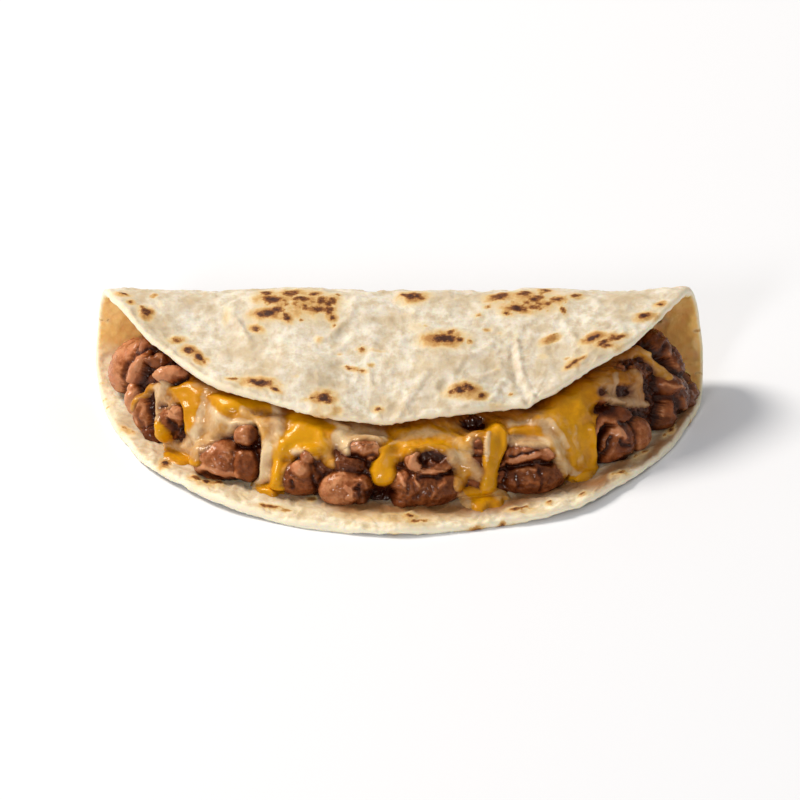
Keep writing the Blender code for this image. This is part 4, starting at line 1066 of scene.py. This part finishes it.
# Wet and smooth, so it glints: warm reddish brown, paler and pinker where a skin is stretched, with
# painted light on the crests, and painted shade, almost black red, down in the folds and hollows.
BEAN_STEPS = [(0.0, "#300E03"), (0.25, "#4A200B"), (0.55, "#6E3D1D"), (0.85, "#9A6036"), (1.1, "#D09A70")]
BEAN_LIGHTEST = BEAN_STEPS[-1][0]
BEAN_SHINE, BEAN_BLUSH = "#F5BC8C", "#CC7652"
SPECKLE_SIZE, CLOUD_SIZE, BLUSH_SIZE = 0.7 * MM, 2.4 * MM, 7 * MM
place = add(tree, "ShaderNodeTexCoord").outputs["Object"]
tone_and_shade = add(tree, "ShaderNodeAttribute", attribute_name="tone_and_shade").outputs["Fac"]
cloud, speckle, blush = [
    add(tree, "ShaderNodeTexNoise", {"Vector": place, "Scale": 1 / size, "Detail": detail,
                                     "Distortion": distortion}).outputs["Fac"]
    for size, detail, distortion in ((CLOUD_SIZE, 4, 0), (SPECKLE_SIZE, 3, 0.8), (BLUSH_SIZE, 2, 0))
]
tone = add(tree, "ShaderNodeMath", {0: cloud, 1: 0.9, 2: -0.45}, operation="MULTIPLY_ADD").outputs[0]
tone = add(tree, "ShaderNodeMath", {0: tone, 1: tone_and_shade}, operation="ADD").outputs[0]
tone = add(tree, "ShaderNodeMath", {0: tone, 1: 1 / BEAN_LIGHTEST}, operation="MULTIPLY").outputs[0]
colours = add(tree, "ShaderNodeValToRGB", {"Fac": tone},
              [(position / BEAN_LIGHTEST, colour) for position, colour in BEAN_STEPS])
reddened = add(tree, "ShaderNodeMapRange", {"Value": blush, "From Min": 0.45, "From Max": 0.7,
                                            "To Max": 0.35}).outputs["Result"]
colour = add(tree, "ShaderNodeMix", {0: reddened, 6: colours.outputs["Color"], 7: linear(BEAN_BLUSH)},
             data_type="RGBA", blend_type="MULTIPLY").outputs[2]
gloss = add(tree, "ShaderNodeMapRange", {"Value": cloud, "From Min": 0.3, "From Max": 0.7,
                                         "To Min": 0.18, "To Max": 0.40}).outputs["Result"]
bump = add(tree, "ShaderNodeBump",
           {"Height": speckle, "Strength": 0.9, "Distance": 0.28 * MM}).outputs["Normal"]
shader = add(tree, "ShaderNodeBsdfPrincipled",
             {"Base Color": colour, "Normal": bump, "Roughness": gloss, "IOR": 1.32,
              "Specular IOR Level": 0.45, "Specular Tint": linear(BEAN_SHINE),
              "Coat Weight": 0.32, "Coat Roughness": 0.12, "Coat Tint": linear(BEAN_SHINE),
              "Subsurface Weight": 0.15, "Subsurface Radius": (1.0, 0.35, 0.15),
              "Subsurface Scale": 0.8 * MM})
add(tree, "ShaderNodeOutputMaterial", {"Surface": shader.outputs["BSDF"]})

beans = add_piece("bean_heap", bean_points, faces, bean_skin,
                  {"tone_and_shade": np.concatenate([tone_and_shade_values[:kept], padding])})
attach(beans, "root")
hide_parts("beans")

# ---- The cheese
# Shreds of yellow cheddar and white jack, melted into one stretchy sheet on the beans. It bridges the
# gaps between them and hangs over the front in thick rounded runs.

CHEESE_SHEET = 0.7 * MM
CHEESE_EDGE = 9  # pixels over which the sheet's lower edge rounds off
SHEET_UNEVEN, SHEET_UNEVEN_SIZE, SHEET_SEED = 0.75, 6 * MM, 46  # how much of itself it is thicker and thinner
PICTURED_AT = 0.6  # the share of the sheet's thickness at which the pixels are laid on it
SHEET_BACK_DOWN, SHEET_BACK_STEEP = 0.85, 12  # how far down it ends where the picture doesn't show it
PICTURE_BEARING, RUN_BEARING = math.radians(97), math.radians(125)
PICTURE_EASING = 0.15
# The sheet's lower edge, as pixels
SHEET_RIM = [
    (110, 318), (130, 336), (146, 366), (154, 384), (163, 396), (168, 402), (180, 405), (184, 428),
    (188, 462), (196, 466), (198, 442), (210, 439), (224, 438), (232, 434), (236, 426), (246, 421),
    (256, 424), (259, 440), (262, 476), (268, 486), (282, 488), (286, 466), (299, 452), (304, 447),
    (314, 448), (332, 449), (338, 446), (346, 447), (352, 440), (370, 441), (382, 448), (398, 446),
    (412, 441), (430, 440), (446, 446), (456, 456), (470, 462), (478, 446), (486, 440), (506, 438),
    (530, 440), (548, 446), (560, 462), (570, 478), (588, 480), (596, 470), (597, 430), (600, 418),
    (606, 409), (616, 400), (640, 402), (650, 384), (657, 350), (672, 322), (700, 290),
]
# Runs and strands: (white cheese's share, thickness in mm, [(column, row, half width)])
RUNS = [
    (0.60, 0.5, [(156, 389, 6), (161, 397, 8), (166, 403, 7)]),
    (0.35, 0.7, [(155, 386, 4), (146, 388, 4.5), (138, 394, 4), (133, 401, 3), (131, 409, 2.4)]),
    (0.92, 0.7, [(161, 384, 5), (158, 394, 5.5), (154, 405, 4.6), (153, 413, 4.2), (156, 422, 3.4)]),
    (0.10, 1.7, [(157, 423, 3.6), (161, 433, 6), (165, 443, 3.6)]),
    (-0.2, 1.4, [(178, 392, 7), (191, 394, 14), (192, 404, 13), (191, 416, 9.5), (190, 430, 7)]),
    (0.40, 0.8, [(200, 384, 8), (214, 392, 9)]),
    (0.10, 1.1, [(172, 391, 5), (182, 396, 5.5), (189, 407, 4.5)]),
    (0.60, 0.6, [(210, 400, 7), (209, 415, 10), (205, 432, 13), (194, 444, 12), (184, 452, 10)]),
    (0.85, 1.0, [(211, 398, 3), (213, 410, 3.2), (219, 418, 3.6),
                 (231, 423, 4), (241, 422, 3.4), (251, 422, 3)]),
    (0.85, 0.9, [(203, 408, 3), (200, 424, 3.4), (193, 438, 4), (184, 448, 4)]),
    (0.62, 0.8, [(172, 448, 7), (180, 455, 11), (187, 461, 7)]),
    (0.10, 1.0, [(168, 456, 5), (179, 461, 7), (188, 463, 5.5), (195, 464, 3)]),
    (0.05, 1.3, [(212, 398, 5), (226, 403, 9), (242, 404, 8), (260, 404, 6), (278, 408, 6)]),
    (0.50, 0.8, [(243, 412, 4), (256, 418, 5), (264, 429, 5.5), (268, 442, 5)]),
    (0.75, 1.0, [(277, 412, 6), (280, 426, 7), (277, 440, 7)]),
    (0.40, 1.4, [(296, 446, 9), (283, 448, 10), (270, 453, 8)]),
    (0.12, 1.6, [(284, 449, 6), (278, 459, 5.5), (276, 471, 5.2), (276, 483, 5.5), (271, 490, 7)]),
    (0.88, 1.3, [(267, 446, 5), (265, 456, 6.6), (263, 468, 6.2), (261, 480, 5.6), (257, 487, 5)]),
    (0.10, 1.4, [(260, 490, 4.5), (270, 491, 6), (281, 489, 3)]),
    (0.90, 0.9, [(296, 452, 4), (303, 446, 4), (311, 448, 4), (317, 455, 3.4)]),
    (0.00, 1.7, [(300, 420, 14), (306, 431, 17), (314, 440, 13), (320, 447, 9)]),
    (0.05, 1.6, [(302, 428, 9), (293, 437, 8), (286, 444, 6)]),
    (0.30, 0.9, [(325, 448, 8.5), (327, 457, 7.5), (331, 464, 5)]),
    # A painted highlight: a pale streak right under the flap's edge
    (0.60, 1.3, [(326, 418, 3.4), (337, 424, 3.4), (347, 429, 3)]),
    (0.97, 1.1, [(340, 435, 6.5), (343, 444, 7.5), (347, 450, 4)]),
    (0.70, 0.6, [(350, 431, 7), (366, 432, 7), (382, 436, 6)]),
    (0.05, 1.2, [(384, 450, 5), (394, 447, 7), (404, 446, 7)]),
    (0.00, 1.7, [(391, 450, 8), (387, 459, 10.5), (383, 468, 13.5), (383, 475, 13)]),
    (0.22, 0.8, [(396, 430, 8), (418, 430, 8), (440, 431, 8), (458, 437, 6)]),
    (0.18, 1.0, [(386, 462, 6), (396, 452, 7.5), (410, 446, 7.5), (425, 442, 7), (440, 444, 6.5),
                 (452, 450, 6), (463, 457, 5)]),
    (0.45, 0.7, [(390, 445, 2.6), (404, 438, 3.4), (420, 434, 3.8),
                 (436, 434, 4), (451, 439, 4), (465, 446, 3.6)]),
    (0.70, 0.7, [(456, 459, 9), (467, 467, 12), (478, 474, 9)]),
    (0.30, 0.8, [(463, 475, 8), (461, 488, 6)]),
    (0.02, 1.9, [(496, 433, 10), (496, 445, 12), (493, 457, 10),
                 (491, 470, 7), (490, 482, 8), (488, 489, 9)]),
    (0.02, 2.5, [(496, 435, 6), (495, 447, 6.5), (493, 460, 5)]),
    # A painted highlight: a pale streak down the left side of the thick run
    (0.66, 2.1, [(489, 434, 1.6), (487, 442, 3), (487, 452, 2.8), (487, 460, 1.6)]),
    (0.02, 2.3, [(497, 430, 4), (503, 436, 4.4), (503, 448, 4.4), (499, 458, 4)]),
    (0.05, 1.3, [(472, 497, 9), (480, 500, 11)]),
    (0.15, 1.0, [(489, 496, 11), (497, 498, 8)]),
    (0.45, 0.9, [(499, 497, 6), (505, 497, 4)]),
    # A painted highlight: pale cheese at the puddle's left end
    (0.60, 0.9, [(461, 498, 4.5), (467, 504, 4.5)]),
    (0.30, 0.8, [(510, 421, 7), (530, 418, 8), (552, 416, 9)]),
    (0.62, 0.8, [(512, 425, 3.6), (528, 427, 4.4), (545, 425, 4.4), (560, 427, 4)]),
    (0.15, 1.3, [(512, 432, 4), (524, 431, 4.6), (537, 433, 5),
                 (549, 439, 5), (558, 448, 4.4), (560, 458, 3.4)]),
    (0.85, 0.6, [(510, 440, 4.5), (528, 442, 5.5), (546, 443, 5)]),
    (0.60, 0.9, [(547, 431, 5), (558, 440, 7), (564, 454, 7), (567, 468, 7.5), (571, 477, 5)]),
    (0.00, 1.0, [(574, 402, 28), (578, 417, 18), (581, 432, 13),
                 (583, 446, 12), (582, 460, 13), (579, 471, 12)]),
    (0.25, 1.0, [(559, 422, 8), (566, 436, 6.5), (571, 450, 6.5), (573, 464, 7), (575, 476, 7)]),
    (0.03, 2.2, [(590, 426, 3.4), (592, 442, 4), (594, 456, 4.6), (593, 467, 5), (586, 477, 5.6),
                 (578, 481, 5.4), (573, 480, 4)]),
    (0.30, 1.6, [(574, 428, 2.4), (573, 440, 2.6), (577, 454, 2.8), (583, 466, 2.6)]),
    (0.10, 1.6, [(553, 423, 3), (563, 437, 3), (570, 449, 3), (573, 462, 3)]),
    (0.62, 1.1, [(549, 421, 2.4), (559, 433, 3), (565, 446, 2.6)]),
    (0.62, 1.2, [(558, 452, 3), (564, 463, 4), (571, 473, 4), (578, 479, 3)]),
    (0.10, 0.45, [(618, 378, 7), (631, 377, 7)]),
    (0.85, 0.7, [(616, 374, 2.6), (615, 388, 3), (617, 402, 4)]),
    (0.90, 0.8, [(610, 399, 4), (622, 402, 5), (634, 402, 6), (646, 404, 4.6)]),
    (0.45, 0.7, [(636, 371, 4), (640, 381, 4.4), (643, 397, 5)]),
    (0.30, 1.2, [(603, 363, 5), (612, 357, 4.6), (622, 353, 5.2), (636, 350, 5.2), (650, 353, 4.2)]),
    (0.40, 0.9, [(646, 352, 3.8), (652, 360, 4.4), (660, 366, 4.4), (667, 371, 4), (674, 377, 2.8)]),
]
FILM = 1.15  # thinner runs have flat edges
RUN_EDGE, FILM_EDGE = 0.5, 0.85
# Gaps in the sheet: (column, row, half width, half height)
GAPS = [
    (168, 371, 21, 11.5), (474, 421, 12, 7), (478, 445, 5, 6.5), (624, 391, 9, 7), (648, 386, 6, 10),
    (600, 407, 10, 7), (588, 399, 4, 4), (603, 392, 4.4, 4), (628, 365, 12, 3.6), (246, 438, 13, 13),
    (353, 456, 10, 5), (366, 449, 17, 8.5), (310, 457, 7, 6), (171, 426, 10, 18), (664, 352, 9, 6),
]
# Where the sheet is yellow or white: (column, row, half width, half height, white cheese's share)
BLENDS = [
    (190, 392, 22, 14, 0.0), (160, 388, 9, 12, 0.7), (208, 412, 10, 12, 0.6), (232, 402, 20, 9, 0.05),
    (262, 412, 12, 10, 0.45), (283, 420, 9, 12, 0.7), (315, 430, 24, 20, 0.0), (343, 440, 9, 10, 0.97),
    (372, 425, 24, 8, 0.5), (400, 430, 20, 9, 0.15), (430, 436, 20, 8, 0.25), (452, 440, 14, 8, 0.4),
    (500, 430, 12, 10, 0.04), (530, 413, 25, 7, 0.25), (538, 426, 22, 4.5, 0.8), (575, 412, 32, 15, 0.0),
    (600, 390, 17, 10, 0.85), (630, 392, 20, 16, 0.85), (617, 375, 26, 6, 0.25), (641, 354, 12, 6, 0.15),
    (255, 396, 20, 5, 0.0), (330, 415, 30, 5, 0.05), (205, 450, 14, 16, 0.6), (180, 450, 14, 8, 0.4),
    (226, 430, 10, 9, 0.6), (264, 452, 7, 24, 0.55), (466, 456, 16, 9, 0.7), (450, 425, 20, 5, 0.4),
    (605, 383, 20, 4, 0.4),
]
ANY_BLEND = 0.04  # the weight of the mixed cheese between those places
ANY_SHARE = 0.3
BLEND_FADE = 1.3
GAP_SLOPE = 0.8
EDGE_DIVE = 0.45  # past a run's edge its surface goes down into the beans at this slope
EDGE_WAVER, EDGE_WAVER_SIZE, EDGE_SEEDS = 2.0, 3.2 * MM, (43, 44)  # how many pixels the edges wander
FLOW_MELD = 0.8 * MM
NO_CHEESE = -10 * MM
RUN_FACES = 0.2  # runs lie on what faces the viewer, or away from them by no more than this
RUN_COLOUR_REACH, RUN_COLOUR_SHARP = 1.55, 1.1  # a run's own colour goes on past it, in half widths
BRIDGE_CELLS, BRIDGE_SHARE, BRIDGE_PASSES = 5, 0.6, 10  # how the sheet spans the gaps between beans
BRIDGE_FULL = 1.5 * MM  # cheese this thick spans them
CHEESE_LUMP, CHEESE_LUMP_SIZE, CHEESE_LUMP_SEED = 0.22 * MM, 4 * MM, 41
LUMPY_FROM = 1 * MM
TOP_PASSES, TOP_SMOOTH_FROM = 3, 0.5 * MM  # how smooth its top is, where it is thicker than this

past_foot = (chart_down - 2) * APRON
bean_top = heights.reshape(chart_shape)
bean_top = np.where(past_foot > 0, np.maximum(bean_top[FOOT_ROW], -GAP), bean_top)
bridge = bean_top
for shift in range(1, BRIDGE_CELLS + 1):
    beside = np.maximum(np.roll(bean_top, shift, axis=1), np.roll(bean_top, -shift, axis=1))
    bridge = np.maximum(bridge, beside)
spread = bridge.copy()
for shift in range(1, BRIDGE_CELLS + 1):
    spread[shift:] = np.maximum(spread[shift:], bridge[:-shift])
    spread[:-shift] = np.maximum(spread[:-shift], bridge[shift:])
bridge = soften(spread * BRIDGE_SHARE + bean_top * (1 - BRIDGE_SHARE), BRIDGE_PASSES)


def on_heap(base, thickness):
    """Points at that thickness on a base above the bare heap. Past its foot, where the base is the
    foot's, they lie on the dough, pushed out as far as the base reaches over it."""
    slid = np.where(past_foot > 0, (base + GAP) * (1 - past_foot / past_foot.max()), 0)
    height = np.where(past_foot > 0, -GAP, base) + thickness
    return bare + out * height[..., None] + out[FOOT_ROW] * slid[..., None]


def cheese_grain(size, seed):
    """Smooth noise over the sheet."""
    return grain(pictured.reshape(-1, 3), size, seed).reshape(chart_shape)


pictured = on_heap(bridge, PICTURED_AT * CHEESE_SHEET)
columns, rows = in_picture(pictured)
columns += EDGE_WAVER * cheese_grain(EDGE_WAVER_SIZE, EDGE_SEEDS[0])
rows += EDGE_WAVER * cheese_grain(EDGE_WAVER_SIZE, EDGE_SEEDS[1])
rim_x, rim_y = np.array(SHEET_RIM, float).T
above_rim = np.interp(columns, rim_x, rim_y) - rows
into_sheet = np.clip(above_rim / CHEESE_EDGE, 0, 1)
sheet = CHEESE_SHEET * (1 + SHEET_UNEVEN * cheese_grain(SHEET_UNEVEN_SIZE, SHEET_SEED))
depth = np.where(above_rim > 0, sheet * np.sqrt(1 - (1 - into_sheet) ** 2), above_rim * PIXEL * EDGE_DIVE)
turned = np.abs((chart_bearing + math.pi) % (2 * math.pi) - math.pi)
in_front = ease((PICTURE_BEARING - turned) / PICTURE_EASING)
plain_sheet = np.clip((SHEET_BACK_DOWN - chart_down) * SHEET_BACK_STEEP, -1, 1) * CHEESE_SHEET
depth = depth * in_front + plain_sheet * (1 - in_front)
blend_weight = np.full(chart_shape, ANY_BLEND)
blend_total = blend_weight * ANY_SHARE
for x, y, half_x, half_y, share in BLENDS:
    weight = np.exp(-BLEND_FADE * (((columns - x) / half_x) ** 2 + ((rows - y) / half_y) ** 2))
    blend_weight += weight
    blend_total += weight * share
white = blend_total / blend_weight
for x, y, half_x, half_y in GAPS:
    apart = np.hypot((columns - x) / half_x, (rows - y) / half_y)
    depth = np.minimum(depth, (apart - 1) * min(half_x, half_y) * PIXEL * GAP_SLOPE)
may_run = (chart_down > SEEN_FROM) & (out @ away < RUN_FACES) & (turned < RUN_BEARING)
for share, thickness, line in RUNS:
    in_run, run_depth = np.inf, NO_CHEESE
    for (*start, start_half), (*end, end_half) in zip(line, line[1:]):
        apart, along_it = from_stretch(columns, rows, start, end)
        half_width = start_half + (end_half - start_half) * along_it
        in_run = np.minimum(in_run, apart / half_width)
        run_depth = np.maximum(run_depth, (half_width - apart) * PIXEL * EDGE_DIVE)
    blunt = RUN_EDGE if thickness > FILM else FILM_EDGE
    run_top = thickness * MM * np.maximum(1 - in_run**2, 0) ** blunt
    run_depth = np.where(may_run, np.where(in_run < 1, run_top, -np.abs(run_depth)), NO_CHEESE)
    higher = np.maximum(run_depth, depth)
    depth = higher + meld(run_depth, depth, FLOW_MELD) * (higher > 0)
    white += (share - white) * ease((RUN_COLOUR_REACH - in_run) * RUN_COLOUR_SHARP)

depth += CHEESE_LUMP * cheese_grain(CHEESE_LUMP_SIZE, CHEESE_LUMP_SEED) * ease(depth / LUMPY_FROM)
cheese_base = bean_top + (bridge - bean_top) * ease(depth / BRIDGE_FULL)
cheese_top = cheese_base + depth
cheese_top += (soften(cheese_top, TOP_PASSES) - cheese_top) * ease(depth / TOP_SMOOTH_FROM)

CUT_BELOW = -0.3 * MM  # cheese further under the beans' surface than this is left out
CHEESE_UNDERSIDE = -0.7 * MM
CHEESE_INTO_DOUGH = -0.3 * MM
CHEESE_SHOWS = 0.4 * MM  # cheese this thick is raised and rounded off at the foot in full
CHEESE_ON_DOUGH = 0.9 * MM  # higher past the foot by this much, to lie over the dough's bumps
RAISED_FROM, RAISED_OVER = 1.9, 0.1
FILLET_MIDDLE, FILLET_HALF, FILLET_FULL = 2.02, 0.14, 1.2  # its bend at the heap's foot is rounded off
FILLET_PASSES = 14

node = np.arange(chart_down.size).reshape(chart_shape)
right = np.roll(node, -1, axis=1)
cells = np.stack([node[:-1], right[:-1], right[1:], node[1:]], axis=-1).reshape(-1, 4)
cells = cells[(depth.ravel()[cells] > CUT_BELOW).any(axis=1)]
outer_points = on_heap(cheese_base, cheese_top - cheese_base).reshape(-1, 3)
under_points = on_heap(np.minimum(bean_top, bridge), CHEESE_UNDERSIDE).reshape(-1, 3)
outer_points = clear_of_dough(outer_points, CHEESE_INTO_DOUGH)
fully = ease(depth / CHEESE_SHOWS)
outer_points[:, 2] += (CHEESE_ON_DOUGH * ease((chart_down - RAISED_FROM) / RAISED_OVER) * fully).ravel()
bend = ease(FILLET_FULL - np.abs(chart_down - FILLET_MIDDLE) / FILLET_HALF) * fully
rounded = soften(outer_points.reshape(*chart_shape, 3), FILLET_PASSES).reshape(-1, 3)
outer_points += (rounded - outer_points) * bend.reshape(-1, 1)
# Walls close the sheet wherever only one cell has a side
sides = np.concatenate([cells[:, [k, (k + 1) % 4]] for k in range(4)])
side_key = sides[:, 0] * node.size + sides[:, 1]
other_key = sides[:, 1] * node.size + sides[:, 0]
first, second = sides[~np.isin(side_key, other_key)].T
walls = np.stack([second, first, first + node.size, second + node.size], axis=-1)
all_faces = np.concatenate([cells, cells[:, ::-1] + node.size, walls])
used, all_faces = np.unique(all_faces, return_inverse=True)
all_faces = all_faces.reshape(-1, 4)

melted_cheese, tree = new_material("melted cheddar and jack")
# Fatty and wet, so it shines, and light goes deep into it: the yellow one glows orange where it is
# thick, and the white one is cream, and beans show through where it is thin.
CHEDDAR, CHEDDAR_THIN, CHEDDAR_FILM = "#D89C04", "#BA7C02", "#7E4A0E"
JACK, JACK_THIN, JACK_FILM = "#E6D2B0", "#C4A27A", "#8A6250"
CHEESE_SHINE = "#FFE6B4"
CHEESE_SHADE = "#A86E28"  # painted shade: the colour multiplied in under the flap's edge and in a few places
THIN = 0.45  # the share of full thickness at which the beans no longer show through
STREAK_SIZE, SWIRL_SIZE = 2.2 * MM, 4.5 * MM
place = add(tree, "ShaderNodeTexCoord").outputs["Object"]
white_share, thickness, painted_shade = [
    add(tree, "ShaderNodeAttribute", attribute_name=name).outputs["Fac"]
    for name in ("white_share", "thickness", "painted_shade")
]
streak = add(tree, "ShaderNodeTexNoise", {"Vector": place, "Scale": 1 / STREAK_SIZE, "Detail": 3,
                                          "Distortion": 1.2}).outputs["Fac"]
swirl = add(tree, "ShaderNodeTexNoise", {"Vector": place, "Scale": 1 / SWIRL_SIZE, "Detail": 2,
                                         "Distortion": 1.6}).outputs["Fac"]
whiteness = add(tree, "ShaderNodeMath", {0: swirl, 1: 0.8, 2: -0.4}, operation="MULTIPLY_ADD").outputs[0]
whiteness = add(tree, "ShaderNodeMath", {0: whiteness, 1: white_share}, operation="ADD").outputs[0]
whiteness = add(tree, "ShaderNodeMapRange", {"Value": whiteness, "From Min": 0.12, "From Max": 0.88},
                interpolation_type="SMOOTHSTEP").outputs["Result"]
varied = add(tree, "ShaderNodeMath", {0: streak, 1: 0.7, 2: -0.35}, operation="MULTIPLY_ADD").outputs[0]
varied = add(tree, "ShaderNodeMath", {0: varied, 1: thickness}, operation="ADD").outputs[0]
yellow, pale = [
    add(tree, "ShaderNodeValToRGB", {"Fac": varied},
        [(0.05, film), (THIN, thin), (0.95, full)]).outputs["Color"]
    for film, thin, full in ((CHEDDAR_FILM, CHEDDAR_THIN, CHEDDAR), (JACK_FILM, JACK_THIN, JACK))
]
colour = add(tree, "ShaderNodeMix", {0: whiteness, 6: yellow, 7: pale}, data_type="RGBA").outputs[2]
# Painted shade multiplied into the colour
colour = add(tree, "ShaderNodeMix", {0: painted_shade, 6: colour, 7: linear(CHEESE_SHADE)}, data_type="RGBA",
             blend_type="MULTIPLY").outputs[2]
bump = add(tree, "ShaderNodeBump",
           {"Height": streak, "Strength": 0.35, "Distance": 0.3 * MM}).outputs["Normal"]
shader = add(tree, "ShaderNodeBsdfPrincipled",
             {"Base Color": colour, "Normal": bump, "Roughness": 0.36, "IOR": 1.44,
              "Specular IOR Level": 0.28, "Specular Tint": linear(CHEESE_SHINE),
              "Coat Weight": 0.3, "Coat Roughness": 0.1, "Coat Tint": linear(CHEESE_SHINE),
              "Subsurface Weight": 0.3, "Subsurface Radius": (1.0, 0.6, 0.2),
              "Subsurface Scale": 1.4 * MM})
add(tree, "ShaderNodeOutputMaterial", {"Surface": shader.outputs["BSDF"]})

# Painted shade under the flap's edge, reaching furthest down at the right
FLAP_SHADE_LEFT, FLAP_SHADE_RIGHT, FLAP_SHADE_MOST = 7, 24, 0.75  # pixels below the edge, and how much
FLAP_SHADE_FROM, FLAP_SHADE_OVER = 380, 120  # the columns from which, and over which, that grows
# And painted shade here, in pixels: (column, row, half width, half height, how much)
SHADE_PLACES = [
    (190, 398, 36, 44, 0.3), (628, 386, 44, 34, 0.42), (396, 464, 26, 26, 0.16), (498, 455, 26, 34, 0.14),
    (536, 430, 28, 14, 0.36), (277, 424, 17, 14, 0.3),
]
SHADE_SHARP = 2
FULL_THICKNESS = 1.3 * MM  # from here on it has its full colour
PUDDLE_SHARE, PUDDLE_FROM, PUDDLE_OVER = 0.6, 1.8, 0.2  # on the dough it has at least so much of it

flap_x, flap_y = np.array(FLAP_EDGE, float).T
below_flap = rows - np.interp(columns, flap_x, flap_y)
flap_shade_reach = FLAP_SHADE_LEFT + (FLAP_SHADE_RIGHT - FLAP_SHADE_LEFT) * ease((columns - FLAP_SHADE_FROM) / FLAP_SHADE_OVER)
shade_share = FLAP_SHADE_MOST * ease(1 - below_flap / flap_shade_reach)
for x, y, half_x, half_y, most in SHADE_PLACES:
    apart = np.hypot((columns - x) / half_x, (rows - y) / half_y)
    shade_share = np.maximum(shade_share, most * ease((1 - apart) * SHADE_SHARP))
in_puddle = PUDDLE_SHARE * ease((chart_down - PUDDLE_FROM) / PUDDLE_OVER)
full_share = np.maximum(np.clip(depth / FULL_THICKNESS, 0, 1), in_puddle)
values = {"white_share": white, "painted_shade": shade_share, "thickness": full_share}
cheese = add_piece("melted_cheese", np.concatenate([outer_points, under_points])[used], all_faces.tolist(),
                   melted_cheese, {name: np.tile(value.ravel(), 2)[used] for name, value in values.items()})
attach(cheese, "root")
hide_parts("cheese")

# ---- The floor and the light
# A plain white table top in a pale room. A soft lamp at the upper left and a little behind gives the
# shadows, and a weak one in front lights the open side.

FLOOR_REACH = 4.0
floor_mesh = bpy.data.meshes.new("floor")
floor_mesh.from_pydata([(-FLOOR_REACH, -FLOOR_REACH, 0), (FLOOR_REACH, -FLOOR_REACH, 0),
                        (FLOOR_REACH, FLOOR_REACH, 0), (-FLOOR_REACH, FLOOR_REACH, 0)], [], [(0, 1, 2, 3)])
floor = bpy.data.objects.new("floor", floor_mesh)
white_table, tree = new_material("plain white table top")
shader = add(tree, "ShaderNodeBsdfPrincipled", {"Base Color": linear("#F3F5FA"), "Roughness": 0.8})
add(tree, "ShaderNodeOutputMaterial", {"Surface": shader.outputs["BSDF"]})
floor_mesh.materials.append(white_table)
bpy.context.scene.collection.objects.link(floor)

# (name, place, width, watts, colour)
LAMPS = [
    ("soft lamp", Vector((-2.0, 0.9, 2.6)), 1.3, 102, "#FFF8EE"),
    ("weak lamp", Vector((-1.2, -2.8, 1.4)), 0.6, 27, "#FFFFFF"),
]
for name, place, width, watts, colour in LAMPS:
    lamp = bpy.data.objects.new(name, bpy.data.lights.new(name, "AREA"))
    lamp.data.shape = "DISK"
    lamp.data.size = width
    lamp.data.energy = watts
    lamp.data.color = linear(colour)[:3]
    lamp.location = place
    lamp.rotation_mode = "QUATERNION"
    lamp.rotation_quaternion = (-place).to_track_quat("-Z", "Y")
    bpy.context.scene.collection.objects.link(lamp)

ROOM_GLOW = 0.38
room = bpy.data.worlds.new("pale room")
room.use_nodes = True
room.node_tree.nodes["Background"].inputs["Color"].default_value = linear("#FFFFFF")
room.node_tree.nodes["Background"].inputs["Strength"].default_value = ROOM_GLOW
bpy.context.scene.world = room
bpy.context.scene.view_settings.view_transform = "Standard"
